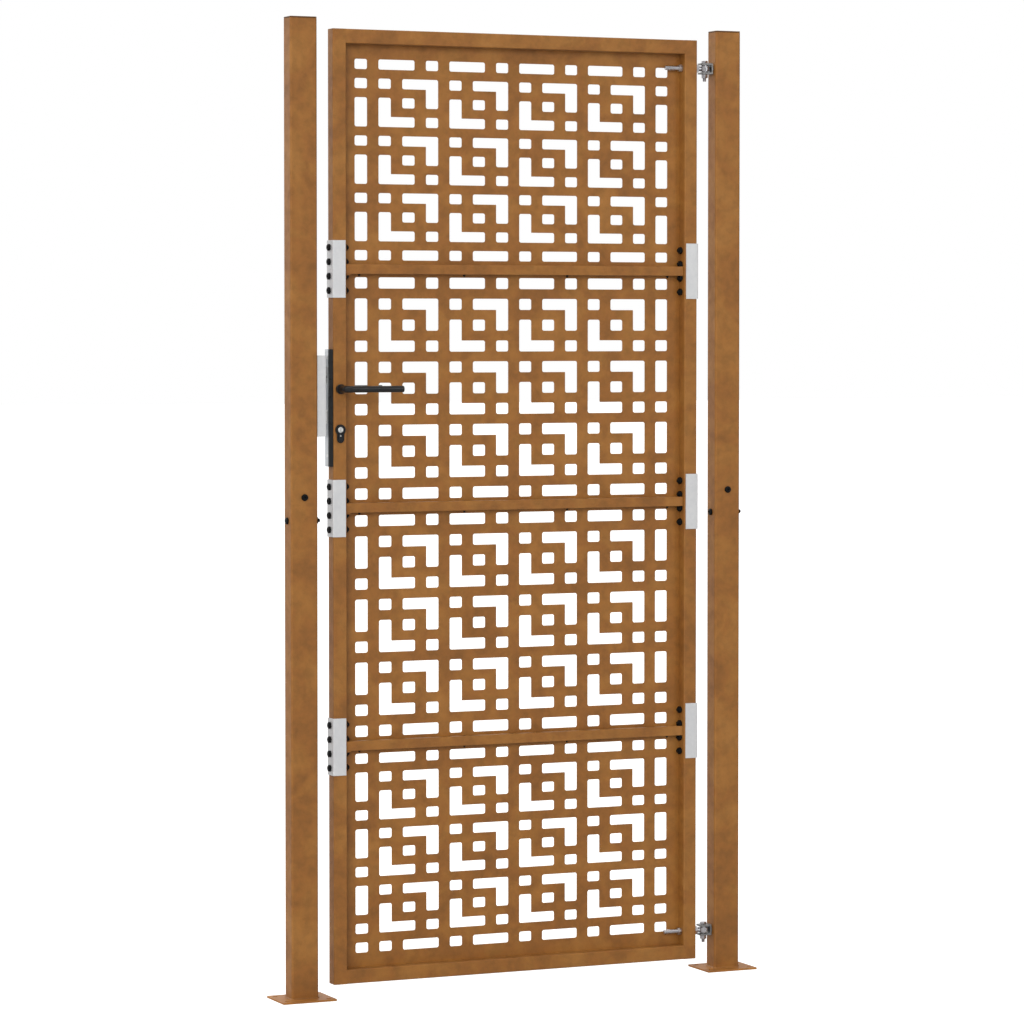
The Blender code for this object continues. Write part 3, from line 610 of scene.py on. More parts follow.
def make_base(side):
    node = f"{side}_base_plate"
    low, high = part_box(node)
    centre = (low + high) / 2
    corners = rounded(rectangle(*spans(low, high, "Z")), PLATE_CORNER)
    anchors = [
        circle(centre.x + i * ANCHOR_X, centre.y + j * ANCHOR_Y, ANCHOR_RADIUS)
        for i in (-1, 1) for j in (-1, 1)
    ]
    # The plate's coat is the posts' rust painted lighter, as painted light on its top.
    fine(plate([corners, *anchors], low.z, high.z, "Z", 0.0005, 1), node, LIT_FOOT_RUST, "posts")
    foot = rounded(rectangle(*spans(*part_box(f"{side}_post_lower"), "Z")), POST_RADIUS, 6)
    finish(bead(foot, WELD_LEG, high.z), f"{side}_foot_weld", WELD, "posts", sharp=60.0)


SLEEVE_WALL, SLEEVE_RADIUS, SCREW_DRILL = 0.002, 0.0026, 0.035


def make_post(side):
    make_base(side)
    screw, bolt = middle(f"{side}_post_front_screw"), middle(f"{side}_post_side_bolt")
    holes = {
        "lower": [hole(BOLT + DRILL_EXTRA, "X", bolt, 0.05)],
        "upper": [hole(BOLT + DRILL_EXTRA, "Y", (screw.x, cad_low.y / 2 - 0.01, screw.z), SCREW_DRILL)],
    }
    if side == "right":
        for part, end in (("lower", "bottom"), ("upper", "top")):
            stud = middle(f"{end}_hinge_clevis")
            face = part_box("right_post_lower")[0].x
            holes[part].append(hole(ROD_RADIUS + DRILL_EXTRA, "X", (face, 0, stud.z), 0.010))
    seam = (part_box(f"{side}_post_lower")[1].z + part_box(f"{side}_post_upper")[0].z) / 2
    for part in ("lower", "upper"):
        node = f"{side}_post_{part}"
        low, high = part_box(node)
        if part == "lower":
            high.z = seam - HAIRLINE
        else:
            low.z = seam + HAIRLINE
        body = tube(low, high, "Z", POST_WALL, POST_RADIUS, 0.00006, 6)
        fine(cut(body, *holes[part]), node, RUST, "posts")
    node = f"{side}_post_sleeve"
    low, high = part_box(node)
    sleeve = tube(low, high, "Z", SLEEVE_WALL, SLEEVE_RADIUS)
    sleeve = cut(sleeve, holes["lower"][0], holes["upper"][0])
    fine(sleeve, node, DARK, "posts")
    make_cap(side)
    make_post_bolts(side)


CAP_THICKNESS, CAP_EDGE, PLUG_WALL = 0.003, 0.0009, 0.004


def make_cap(side):
    """A flat lid with soft rims over a hollow plug."""
    node = f"{side}_post_cap"
    low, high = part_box(node)
    under = high.z - CAP_THICKNESS
    lid = bar((low.x, low.y, under), (high.x, high.y, high.z), "Z", POST_RADIUS, CAP_EDGE, 3, 6)
    inset = POST_WALL + GAP
    plug_low = (low.x + inset, low.y + inset, low.z)
    plug_high = (high.x - inset, high.y - inset, under + 0.001)
    plug = tube(plug_low, plug_high, "Z", PLUG_WALL, SLEEVE_RADIUS)
    fine(fused(lid, plug), node, DARK, "posts")


TAIL_SHORTER = 0.0015


def make_post_bolts(side):
    node = f"{side}_post_front_screw"
    low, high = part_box(node)
    centre = (low + high) / 2
    face = low.y + BOLT_HEAD_HEIGHT
    domed = button_head(BOLT_HEAD_RADIUS, BOLT_HEAD_HEIGHT)
    head = aimed(domed, (centre.x, face, centre.z), (0, -1, 0))
    screw = thread(BOLT, high.y - face, BOLT_PITCH, 20)
    shank = aimed(screw, (centre.x, face - GAP, centre.z), (0, 1, 0))
    inside = face + POST_WALL + SLEEVE_WALL + 2 * GAP
    fixing = aimed(nut(NUT_FLATS, NUT_HEIGHT, BOLT), (centre.x, inside, centre.z), (0, 1, 0))
    fine(joined(head, shank, fixing), node, BOLT_BLACK, "posts")
    node = f"{side}_post_side_bolt"
    low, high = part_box(node)
    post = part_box(f"{side}_post_lower")
    centre = (low + high) / 2
    bolt = cross_bolt(low.x + BOLT_HEAD_HEIGHT, high.x - TAIL_SHORTER, post[1].x + GAP)
    fine(shifted(bolt, 0, centre.y, centre.z), node, BOLT_BLACK, "posts")


# The sheets' pattern repeats what the CAD model's sheets have.
PATTERN_COLUMNS, PATTERN_ROWS = 14, 11
COLUMN_PITCH, HOLE_WIDTH, HOLE_SHARE = 0.0541, 0.0286, 0.53
PATTERN_MARGIN, END_PATTERN_HEIGHT, END_JOINT_MARGIN = 0.0165, 0.4211, 0.0189
CORNER, INNER_CORNER = 0.0042, 0.0012
SECTION_HEIGHT, SHEET_LAP = 0.5, 0.0006


def sheet_holes(left, top, pitch, at_top):
    """The outlines of a sheet's holes: a motif of squares and corner pieces, repeated."""
    hole_height = HOLE_SHARE * pitch

    def cells(row, column, rows=1, columns=1):
        x0, z1 = left + column * COLUMN_PITCH, top - row * pitch
        return x0, z1 - (rows - 1) * pitch - hole_height, x0 + (columns - 1) * COLUMN_PITCH + HOLE_WIDTH, z1

    def plain(*where):
        return rounded(rectangle(*cells(*where)), CORNER, 6)

    loops = []
    last = PATTERN_ROWS - 1
    for column in range(1, PATTERN_COLUMNS - 1, 3):
        loops += [plain(0, column, 1, 2), plain(0, column + 2)]
        loops += [plain(last, column), plain(last, column + 1, 1, 2)]
        for row in range(1, last, 3):
            loops += [plain(row + step, column + step) for step in range(3)]
            x0, z0, x2, z2 = cells(row, column + 1, 2, 2)
            z1, x1 = z2 - hole_height, x2 - HOLE_WIDTH
            bent = [(x0, z1), (x1, z1), (x1, z0), (x2, z0), (x2, z2), (x0, z2)]
            loops.append(rounded(bent, [CORNER, INNER_CORNER, CORNER, CORNER, CORNER, CORNER], 6))
            x0, z0, x2, z2 = cells(row + 1, column, 2, 2)
            z1, x1 = z0 + hole_height, x0 + HOLE_WIDTH
            bent = [(x0, z0), (x2, z0), (x2, z1), (x1, z1), (x1, z2), (x0, z2)]
            loops.append(rounded(bent, [CORNER, CORNER, CORNER, INNER_CORNER, CORNER, CORNER], 6))
    singles, talls = ((0, 1, 4, 7, 10), (2, 5, 8)) if at_top else ((0, 3, 6, 9, 10), (1, 4, 7))
    for column in (0, PATTERN_COLUMNS - 1):
        loops += [plain(row, column) for row in singles]
        loops += [plain(row, column, 2) for row in talls]
    return loops


SECTIONS = ("bottom", "lower", "upper", "top")


def make_sheet(section):
    node = f"panel_{section}"
    low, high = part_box(node)
    centre_x = (low.x + high.x) / 2
    stile_low, stile_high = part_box(f"left_stile_{section}")
    if section in ("bottom", "top"):
        pattern = END_PATTERN_HEIGHT
        at_bottom = section == "bottom"
        top = stile_high.z - END_JOINT_MARGIN if at_bottom else stile_low.z + END_JOINT_MARGIN + pattern
    else:
        pattern = SECTION_HEIGHT - 2 * PATTERN_MARGIN
        top = stile_high.z - PATTERN_MARGIN
    pitch = pattern / (PATTERN_ROWS - 1 + HOLE_SHARE)
    width = (PATTERN_COLUMNS - 1) * COLUMN_PITCH + HOLE_WIDTH
    loops = sheet_holes(centre_x - width / 2, top, pitch, section == "top")
    border = rectangle(low.x - SHEET_LAP, low.z - SHEET_LAP, high.x + SHEET_LAP, high.z + SHEET_LAP)
    fine(plate([border, *loops], low.y, high.y, "Y", 0.00022), node, RUST, "leaf")


BRACKET_STEPS = (-0.045, -0.015, 0.015, 0.045)
CASE_HALF, CASE_RISE, CASE_DROP = 0.0078, 0.040, 0.030
SPINDLE_HOLE = 0.0065


def stile_cutters(side, section, low, high):
    """Holes for the cross bolts, the hinge rods and the lock."""
    cutters = []
    for place in ("low", "middle", "high"):
        joint = middle(f"{side}_bracket_{place}")
        for step in BRACKET_STEPS:
            if low.z < joint.z + step < high.z:
                cutters.append(hole(BOLT + DRILL_EXTRA, "X", ((low.x + high.x) / 2, 0, joint.z + step), 0.03))
    if side == "right" and section in ("bottom", "top"):
        rod_z = middle(f"{section}_hinge_eyebolt").z
        cutters.append(hole(ROD_RADIUS + DRILL_EXTRA, "X", ((low.x + high.x) / 2, 0, rod_z), 0.03))
    if side == "left" and section == "upper":
        case_low, case_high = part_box("lock_case")
        spindle = middle("lever_spindle")
        half, bottom, top = CASE_HALF + GAP, case_low.z + CASE_RISE - GAP, case_high.z - CASE_DROP + GAP
        cutters.append(box_mesh((low.x - 0.01, -half, bottom), (low.x + 0.003, half, top)))
        cutters.append(hole(SPINDLE_HOLE, "Y", spindle, 0.03))
        cutters.append(plate([profile(0.0006)], -0.03, 0.03, "Y", 0.0))
    return cutters


def make_stiles():
    for side in ("left", "right"):
        for section in SECTIONS:
            node = f"{side}_stile_{section}"
            low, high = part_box(node)
            body = tube(low, high, "Z", TUBE_WALL, TUBE_RADIUS)
            body = cut(body, *stile_cutters(side, section, low, high))
            shut = {"bottom": -1, "top": 1}.get(section, 0)
            if shut:
                inner = TUBE_WALL + 0.00005
                end = high.z if shut > 0 else low.z
                lid_z = sorted((end - shut * 0.0001, end - shut * TUBE_WALL))
                lid_low = (low.x + inner, low.y + inner, lid_z[0])
                lid_high = (high.x - inner, high.y - inner, lid_z[1])
                lid = bar(lid_low, lid_high, "Z", TUBE_RADIUS - TUBE_WALL + 0.0002, 0.0002, 0)
                body = joined(body, lid)
            fine(body, node, RUST, "leaf")


# Half of the box cut from each end of a crossbar, so that it clears the brackets' nuts.
NOTCH = (0.0105, 0.0080, 0.0028)


def make_rails():
    for node in ("top_rail", "bottom_rail"):
        low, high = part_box(node)
        reach = TUBE_RADIUS + 0.0004
        low.x, high.x = low.x - reach, high.x + reach
        fine(tube(low, high, "X", TUBE_WALL, TUBE_RADIUS, 0.00004), node, RUST, "leaf")
    soft, crisp = 0.0011, 0.00008
    for place in ("low", "middle", "high"):
        seam = (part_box(f"crossbar_{place}_under")[1].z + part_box(f"crossbar_{place}_over")[0].z) / 2
        for layer in ("under", "over"):
            node = f"crossbar_{place}_{layer}"
            low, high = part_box(node)
            edge = high.z if layer == "over" else low.z
            if layer == "over":
                low.z, radii = seam + HAIRLINE, [crisp, crisp, soft, soft]
            else:
                high.z, radii = seam - HAIRLINE, [soft, soft, crisp, crisp]
            body = tube(low, high, "X", TUBE_WALL, radii, 0.0002, 4)
            across, deep, tall = NOTCH
            notches = [
                box_mesh((x - across, -deep, edge - tall), (x + across, deep, edge + tall))
                for x in (low.x, high.x)
            ]
            fine(cut(body, *notches), node, RUST, "leaf")
        make_crossbar_bolts(place)


CROSSBAR_BOLT_X = (-0.361, -0.1205, 0.1205, 0.361)
SMALL_BOLT, SMALL_PITCH, SMALL_FLATS, SMALL_NUT, SMALL_TAIL = 0.0015, 0.0005, 0.0055, 0.0026, 0.0022


def make_crossbar_bolts(place):
    """Four small upright bolts that clamp a joint's two crossbars together."""
    over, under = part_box(f"crossbar_{place}_over"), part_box(f"crossbar_{place}_under")
    y = (over[0].y + over[1].y) / 2
    centre_x = (over[0].x + over[1].x) / 2
    top, bottom = over[1].z, under[0].z
    sunk = turned([(0, -0.0018), (0.0013, -0.0018), (0.0028, -0.0002), (0.0028, 0.0001), (0, 0.0001)], 28)
    length = top - bottom + SMALL_NUT + SMALL_TAIL
    one = joined(
        shifted(sunk, z=top),
        aimed(thread(SMALL_BOLT, length, SMALL_PITCH, 12, 3), (0, 0, top - 0.0002), (0, 0, -1)),
        aimed(nut(SMALL_FLATS, SMALL_NUT, SMALL_BOLT, 36), (0, 0, bottom), (0, 0, -1), 0.3),
    )
    bolts = joined(*[shifted(one, centre_x + x, y) for x in CROSSBAR_BOLT_X])
    finish(bolts, f"crossbar_{place}_bolts", BOLT_BLACK, "leaf")


BRACKET_SHEET, BRACKET_WIDTH = 0.002, 0.0293


def make_brackets():
    """Folded U brackets round the stiles, each with four cross bolts."""
    for side in ("left", "right"):
        sign = 1.0 if side == "left" else -1.0
        for place in ("low", "middle", "high"):
            node = f"{side}_bracket_{place}"
            low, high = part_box(node)
            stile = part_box(f"{side}_stile_lower")
            half = TUBE_HALF + GAP
            outer_x = stile[0].x if side == "left" else stile[1].x
            web = outer_x - sign * (BRACKET_SHEET + GAP)
            lip, skin = web + sign * BRACKET_WIDTH, half + BRACKET_SHEET
            inside = web + sign * BRACKET_SHEET
            corners = [
                (web, -skin), (lip, -skin), (lip, -half), (inside, -half),
                (inside, half), (lip, half), (lip, skin), (web, skin),
            ]
            radii = [0.0026, 0.0003, 0.0003, 0.0007, 0.0007, 0.0003, 0.0003, 0.0026]
            sheet = plate([rounded(corners, radii, 6)], low.z, high.z, "Z", 0.0004, 1)
            joint = (low.z + high.z) / 2
            holes = [hole(BOLT + DRILL_EXTRA, "X", (web, 0, joint + step), 0.004) for step in BRACKET_STEPS]
            fine(cut(sheet, *holes), node, GALVANISED, "leaf")
            tip = high.x if side == "left" else low.x
            nut_from = stile[1].x + GAP if side == "left" else stile[0].x - GAP
            bolt = cross_bolt(web, tip, nut_from, sign, BRACKET_HEAD_HEIGHT)
            bolts = joined(*[shifted(bolt, z=joint + step) for step in BRACKET_STEPS])
            finish(bolts, f"{node}_bolts", BOLT_BLACK, "leaf", node)


ROD_PITCH, ROD_RADIUS, ROD_FLATS, ROD_NUT = 0.0015, 0.005, 0.017, 0.0084
INNER_FLATS, ROD_SHORTER = 0.0142, 0.005
COLLAR, FORK_EAR, FORK_WEB, PIN_NUT = 0.002, 0.004, 0.0035, 0.008


def make_hinge(end):
    """An eye on a threaded rod, a forked block on a stud, and an upright bolt through both."""
    node = f"{end}_hinge_eyebolt"
    low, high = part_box(node)
    pin = middle(f"{end}_hinge_pin")
    z = (low.z + high.z) / 2
    x, bore = pin.x, BOLT + DRILL_EXTRA
    upper = [
        (0.0115, 0.0046), (0.0109, 0.0053), (0.0070, 0.0053), (0.0070, 0.0073), (0.0068, 0.0076),
        (bore + 0.0003, 0.0076), (bore, 0.0074),
    ]
    lower = [(radius, -height) for radius, height in reversed(upper)]
    eye = shifted(turned(lower + upper, 40, ring=True), x, 0, z)
    neck = aimed(rod(ROD_RADIUS + 0.0004, 0.014, 0.0003), (x - 0.0095, 0, z), (-1, 0, 0))
    neck = cut(neck, hole(0.0090, "Z", (x, 0, z), 0.02))
    stile_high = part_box(f"right_stile_{end}")[1]
    tip = low.x + ROD_SHORTER
    shank = aimed(thread(ROD_RADIUS, x - 0.0230 - tip, ROD_PITCH, 28), (tip, 0, z), (1, 0, 0))
    fixing = aimed(nut(ROD_FLATS, ROD_NUT, ROD_RADIUS), (stile_high.x + GAP, 0, z), (1, 0, 0), TAU / 12)
    fine(joined(eye, neck, shank, fixing), node, ZINC, "leaf")
    node = f"{end}_hinge_rod_nut"
    low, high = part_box(node)
    fixing = aimed(nut(INNER_FLATS, high.x - low.x, ROD_RADIUS), (low.x, 0, z), (1, 0, 0), TAU / 12)
    fine(fixing, node, ZINC, "leaf")

    node = f"{end}_hinge_clevis"
    low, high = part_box(node)
    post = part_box("right_post_lower")[0].x
    tip, root, reach = low.x, post - COLLAR - GAP, high.z - z
    slot, web = reach - FORK_EAR, root - FORK_WEB
    corners = [
        (tip, z - reach), (root, z - reach), (root, z + reach), (tip, z + reach),
        (tip, z + slot), (web, z + slot), (web, z - slot), (tip, z - slot),
    ]
    radii = [0.0005, 0.0022, 0.0022, 0.0005, 0.0005, 0.0008, 0.0008, 0.0005]
    fork = plate([rounded(corners, radii, 5)], low.y, high.y, "Y", 0.0005, 1)
    fork = cut(fork, hole(bore, "Z", (x, 0, z), 0.03))
    collar = aimed(washer(ROD_RADIUS - 0.0005, 0.010, COLLAR), (root, 0, z), (1, 0, 0))
    stud = aimed(thread(ROD_RADIUS, high.x - root, ROD_PITCH, 28), (root - 0.0002, 0, z), (1, 0, 0))
    fixing = aimed(nut(ROD_FLATS, ROD_NUT, ROD_RADIUS), (post + POST_WALL + GAP, 0, z), (1, 0, 0), TAU / 12)
    # The clevis wears the darker zinc, whose darkness is painted shade.
    fine(joined(fork, collar, stud, fixing), node, DULL_SHADED_ZINC, "posts")

    node = f"{end}_hinge_pin"
    low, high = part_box(node)
    seat = z + reach + GAP
    head = aimed(nut(NUT_FLATS, high.z - seat, 0.0), (x, 0, seat), (0, 0, 1), 0.35)
    plain = aimed(rod(BOLT, seat - (z - reach) + 0.0004), (x, 0, z - reach), (0, 0, 1))
    tail = aimed(thread(BOLT, z - reach - low.z, BOLT_PITCH, 24), (x, 0, low.z), (0, 0, 1))
    fixing = aimed(nut(NUT_FLATS, PIN_NUT, BOLT), (x, 0, z - reach - GAP), (0, 0, -1), 0.2)
    fine(joined(head, plain, tail, fixing), node, ZINC, "posts")


CYLINDER_RADIUS, CYLINDER_TAIL, CYLINDER_DROP = 0.0085, 0.005, 0.0245
PLUG_RADIUS, STUD_DROP, KEYWAY_DEPTH, ROSE_WIDTH = 0.0060, 0.0125, 0.008, 0.0030
KEYWAY = [
    (-0.0006, -0.0042), (0.0010, -0.0042), (0.0010, 0.0006),
    (0.0004, 0.0012), (0.0004, 0.0040), (-0.0006, 0.0040),
]


def profile(grow, steps=20):
    """The outline of a profile cylinder, a round head over a narrow tail, grown by an offset."""
    centre = middle("cylinder_plug")
    head, tail = CYLINDER_RADIUS + grow, CYLINDER_TAIL + grow
    neck = math.asin(tail / head)
    sweep = TAU - 2 * neck
    outline = []
    for k in range(steps + 1):
        t = -math.pi / 2 + neck + sweep * k / steps
        outline.append((head * math.cos(t), head * math.sin(t)))
    foot = -(CYLINDER_DROP - CYLINDER_TAIL)
    for k in range(9):
        t = math.pi + math.pi * k / 8
        outline.append((tail * math.cos(t), foot + tail * math.sin(t)))
    return [(centre.x + u, centre.z + v) for u, v in outline]


def pocket(node, extra, low_x, high_x):
    low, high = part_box(node)
    return box_mesh((low_x, low.y - extra, low.z - extra), (high_x, high.y + extra, high.z + extra))


def crossed(head, reach, floor, half=0.0004, top=0.005):
    """A screw that points up, with a cross slot cut into its head, down to floor."""
    along = box_mesh((-reach, -half, floor), (reach, half, top))
    across = box_mesh((-half, -reach, floor), (half, reach, top))
    return cut(head, along, across)


LOCK_SKIN, LOCK_LIP, LOCK_SPACER, LOCK_DEPTH = 0.0007, 0.0065, 0.0074, 0.024
CASE_WALL, FACE_THICKNESS, SCREW_SLOT, SCREW_FLOOR = 0.0015, 0.0015, 0.0022, 0.0006
# Half sections, as (radius, height), of the lock screws' sinks and of the screws.
LOCK_SINK = [(0, -0.003), (0.0022, -0.003), (0.0022, 0.0006), (0.0040, 0.0016), (0.0040, 0.004), (0, 0.004)]
LOCK_SCREW = [
    (0, -0.010), (0.0017, -0.010), (0.0019, 0.0002), (0.0038, 0.00135), (0.0037, 0.0015), (0, 0.0015),
]


def make_lock():
    """A black case and spacer with a steel face let into their outer edge."""
    case_low, case_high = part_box("lock_case")
    face_low, face_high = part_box("lock_face_plate")
    spacer_low = (face_low.x + LOCK_SKIN, case_low.y, case_low.z)
    spacer_high = (case_low.x + LOCK_SPACER, case_low.y + LOCK_DEPTH, case_high.z)
    spacer = bar(spacer_low, spacer_high, "Z", 0.0006, 0.0005, 1)
    lip_high = (face_low.x + 0.0012, case_low.y + LOCK_LIP, case_high.z)
    lip = bar((face_low.x, case_low.y, case_low.z), lip_high, "Z", 0.0005, 0.0004, 1)
    inner_low = (case_low.x + 0.003, -CASE_HALF, case_low.z + CASE_RISE)
    inner_high = (case_high.x, CASE_HALF, case_high.z - CASE_DROP)
    case = bar(inner_low, inner_high, "Z", 0.0008, 0.0005, 1)
    spindle = middle("lever_spindle")
    outside, end = face_low.x - 0.02, case_high.x - CASE_WALL
    pockets = [pocket(node, 0.0006, outside, end) for node in ("latch_bolt", "dead_bolt")]
    pockets += [hole(SPINDLE_HOLE, "Y", spindle, 0.03), plate([profile(GAP)], -0.03, 0.03, "Y", 0.0)]
    screws_z = (case_low.z + 0.023, case_high.z - 0.017)
    pockets += [hole(0.0021, "X", (case_low.x, spindle.y - 0.003, z), 0.006) for z in screws_z]
    fine(cut(fused(spacer, case, lip), *pockets), "lock_case", BLACK, "leaf")

    windows = [pocket(node, GAP, outside, face_high.x + 0.01) for node in ("latch_bolt", "dead_bolt")]
    centre_y = (face_low.y + face_high.y) / 2
    under_face = face_low.x + FACE_THICKNESS
    sinks = [aimed(turned(LOCK_SINK, 28), (under_face, centre_y, z), (-1, 0, 0)) for z in screws_z]
    skin_low = (face_low.x, face_low.y + LOCK_LIP + 0.0001, face_low.z + 0.0004)
    skin_high = (face_low.x + LOCK_SKIN, face_high.y, face_high.z - 0.0004)
    face = bar(skin_low, skin_high, "Z", 0.00025, 0.0002, 1)
    fine(cut(face, *windows, *sinks), "lock_face_plate", STEEL, "leaf")
    screw = crossed(turned(LOCK_SCREW, 28), SCREW_SLOT, SCREW_FLOOR)
    screws = [aimed(screw, (under_face, centre_y, z), (-1, 0, 0)) for z in screws_z]
    finish(joined(*screws), "lock_face_screws", CORE, "leaf")


LATCH_LAND, LATCH_BEVEL = 0.003, 0.007


def make_bolts():
    """The latch, with its bevelled corner, and the dead bolt."""
    low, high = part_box("latch_bolt")
    corners = [
        (low.x, high.y), (low.x, high.y - LATCH_LAND), (low.x + LATCH_BEVEL, low.y), (high.x, low.y),
        (high.x, high.y),
    ]
    outline = rounded(corners, [0.0006, 0.0012, 0.0015, 0.0004, 0.0004], 4)
    latch = plate([outline], low.z, high.z, "Z", 0.0006, 1)
    fine(latch, "latch_bolt", CORE, "latch_bolt")
    low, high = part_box("dead_bolt")
    fine(bar(low, high, "X", 0.0008, 0.0006, 1), "dead_bolt", CORE, "dead_bolt")


def make_cylinder():
    low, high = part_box("lock_cylinder")
    centre = middle("cylinder_plug")
    body = plate([profile(0.0)], low.y, high.y, "Y", 0.0004, 1)
    body = cut(body, hole(PLUG_RADIUS + GAP, "Y", centre, 0.03))
    fine(body, "lock_cylinder", GUNMETAL, "leaf")
    studs = []
    for y, way in ((low.y, -1), (high.y, 1)):
        dome = turned([(0, -0.0010), (0.0034, -0.0010), (0.0034, 0), (0.0027, 0.00015), (0, 0.00025)], 24)
        studs.append(aimed(dome, (centre.x, y + way * -0.0002, centre.z - STUD_DROP), (0, way, 0)))
    finish(joined(*studs), "cylinder_tail_studs", CORE, "leaf")
    low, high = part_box("cylinder_plug")
    plug = aimed(rod(PLUG_RADIUS, high.y - low.y, 0.0006, 40), (centre.x, low.y, centre.z), (0, 1, 0))
    keyway = [(centre.x + u, centre.z + v) for u, v in KEYWAY]
    keyways = [plate([keyway], y - KEYWAY_DEPTH, y + KEYWAY_DEPTH, "Y", 0.0) for y in (low.y, high.y)]
    fine(cut(plug, *keyways), "cylinder_plug", CORE, "cylinder_plug")
    for node in ("front_rose", "back_rose"):
        low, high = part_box(node)
        rose = plate([profile(ROSE_WIDTH, 32), profile(GAP, 32)], low.y, high.y, "Y", 0.0006, 2)
        fine(rose, node, BLACK, "leaf")


LEVER_GRIP, LEVER_ROOT, LEVER_BEND, LEVER_START = 0.0068, 0.0075, 0.0095, 0.0055
SOCKET, SOCKET_REACH, GRUB_RADIUS, GRUB_OUT, GRUB_DOWN = 0.0043, 0.0403, 0.0021, 0.016, 0.0085
HUB = [
    (0, 0), (0.0100, 0), (0.0103, 0.0003), (0.0103, 0.0066), (0.0100, 0.0074), (0.0093, 0.0080), (0, 0.0080),
]


def make_levers():
    """Two round levers with soft elbows, their hubs, and the square spindle between them."""
    x, y, z = middle("lever_spindle")
    for node, side in (("lever_front", -1.0), ("lever_back", 1.0)):
        low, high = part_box(node)
        face, far = (high.y, low.y) if side < 0 else (low.y, high.y)
        tip, grip_y = high.x, far - side * LEVER_GRIP
        path, radii = [(x, face + side * LEVER_START, z)], [LEVER_ROOT]
        for k in range(13):
            t = math.pi / 2 * k / 12
            short = LEVER_BEND * (1 - math.sin(t))
            path.append((x + LEVER_BEND * (1 - math.cos(t)), grip_y - side * short, z))
            radii.append(LEVER_ROOT + (LEVER_GRIP - LEVER_ROOT) * k / 12)
        straight = tip - 0.0008 - x - LEVER_BEND
        for k in range(1, 9):
            path.append((x + LEVER_BEND + straight * k / 8, grip_y, z))
            radii.append(LEVER_GRIP)
        path += [(tip - 0.0002, grip_y, z), (tip, grip_y, z)]
        radii += [LEVER_GRIP - 0.0003, LEVER_GRIP - 0.0009]
        hub = aimed(turned(HUB, 48), (x, face, z), (0, side, 0))
        near, deep = sorted((0.0, side * SOCKET_REACH))
        socket = box_mesh((x - SOCKET, near, z - SOCKET), (x + SOCKET, deep, z + SOCKET))
        grub_at = Vector((x, face + side * GRUB_OUT, z - GRUB_DOWN))
        grub_hole = hole(GRUB_RADIUS + 0.0001, "Z", grub_at, 0.003)
        body = cut(fused(swept(path, radii, 32), hub), socket, grub_hole)
        fine(body, node, BLACK, "lever_set", sharp=35.0)
        grub = aimed(thread(GRUB_RADIUS, 0.0022, 0.0007, 16), grub_at + Vector((0, 0, 0.0008)), (0, 0, 1))
        finish(grub, f"{node}_grub_screw", BOLT_BLACK, "lever_set")
    low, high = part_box("lever_spindle")
    fine(bar(low, high, "Y", 0.0005, 0.0006, 1), "lever_spindle", ZINC, "lever_set")


KEEPER_WALL, KEEPER_CLEARANCE, KEEPER_SCREW_INSET = 0.002, 0.0015, 0.014
KEEPER_SCREW = [
    (0, -0.008), (0.0018, -0.008), (0.0020, 0), (0.0038, 0), (0.0040, 0.0006),
    (0.0034, 0.0018), (0.0020, 0.0024), (0, 0.0026),
]


def make_keeper():
    """A folded box on the lock post, open behind for the latch, with a slot for the dead bolt."""
    low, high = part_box("keeper")
    body = tube(low, high, "Z", KEEPER_WALL, 0.0022, 0.0004)
    latch_low, latch_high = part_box("latch_bolt")
    bolt_low, bolt_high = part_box("dead_bolt")
    near, far, extra = low.x + KEEPER_WALL + 0.0005, high.x + 0.01, KEEPER_CLEARANCE
    way_low = (near, latch_low.y - extra, latch_low.z - extra)
    way = box_mesh(way_low, (far, high.y + 0.01, latch_high.z + extra))
    slot_low = (near, bolt_low.y - extra, bolt_low.z - extra)
    slot = bar(slot_low, (far, bolt_high.y + extra, bolt_high.z + extra), "X", 0.0012, 0.0001, 0)
    centre_z = (latch_low.z + bolt_high.z) / 2
    screw_z = (low.z + KEEPER_SCREW_INSET, centre_z, high.z - KEEPER_SCREW_INSET)
    access = [hole(0.0045, "X", (high.x, 0, z), 0.004) for z in screw_z]
    fixings = [hole(0.0022, "X", (low.x, 0, z), 0.004) for z in screw_z]
    fine(cut(body, way, slot, *access, *fixings), "keeper", GALVANISED, "posts")
    screw = crossed(turned(KEEPER_SCREW, 28), 0.0020, 0.0012)
    screws = [aimed(screw, (low.x + KEEPER_WALL, 0, z), (1, 0, 0)) for z in screw_z]
    finish(joined(*screws), "keeper_screws", ZINC, "posts")


for side in ("left", "right"):
    make_post(side)
for section in SECTIONS:
    make_sheet(section)
make_stiles()
make_rails()
make_brackets()
for end in ("top", "bottom"):
    make_hinge(end)
make_lock()
make_bolts()
make_cylinder()
make_levers()
make_keeper()

# ---------------- floor, light and camera


FLOOR_REACH, FLOOR_GLOW, FLOOR_Z = 60.0, 0.80, -0.0002


def make_floor():
    """A wide pale floor, which glows a little to the camera so that it looks white."""
    corners = rectangle(-FLOOR_REACH, -FLOOR_REACH, FLOOR_REACH, FLOOR_REACH)
    mesh = mesh_of([(x, y, 0) for x, y in corners], [(0, 1, 2, 3)])
    floor = placed("floor", mesh)
    look = Finish("pale_floor", Roughness=0.9, Specular_IOR_Level=0.1)
    tone = look.ramp(look.noise(3.0, 3.0), (0.3, (0.61, 0.61, 0.61)), (0.7, (0.63, 0.63, 0.63)))
    look.set("Base Color", tone)
    look.shader.inputs["Emission Color"].default_value = (1, 1, 1, 1)
    seen = look.tree.nodes.new("ShaderNodeLightPath").outputs["Is Camera Ray"]
    look.set("Emission Strength", look.range(seen, 0.0, 1.0, 0.0, FLOOR_GLOW))
    mesh.materials.append(look.material)
    floor.location.z = FLOOR_Z


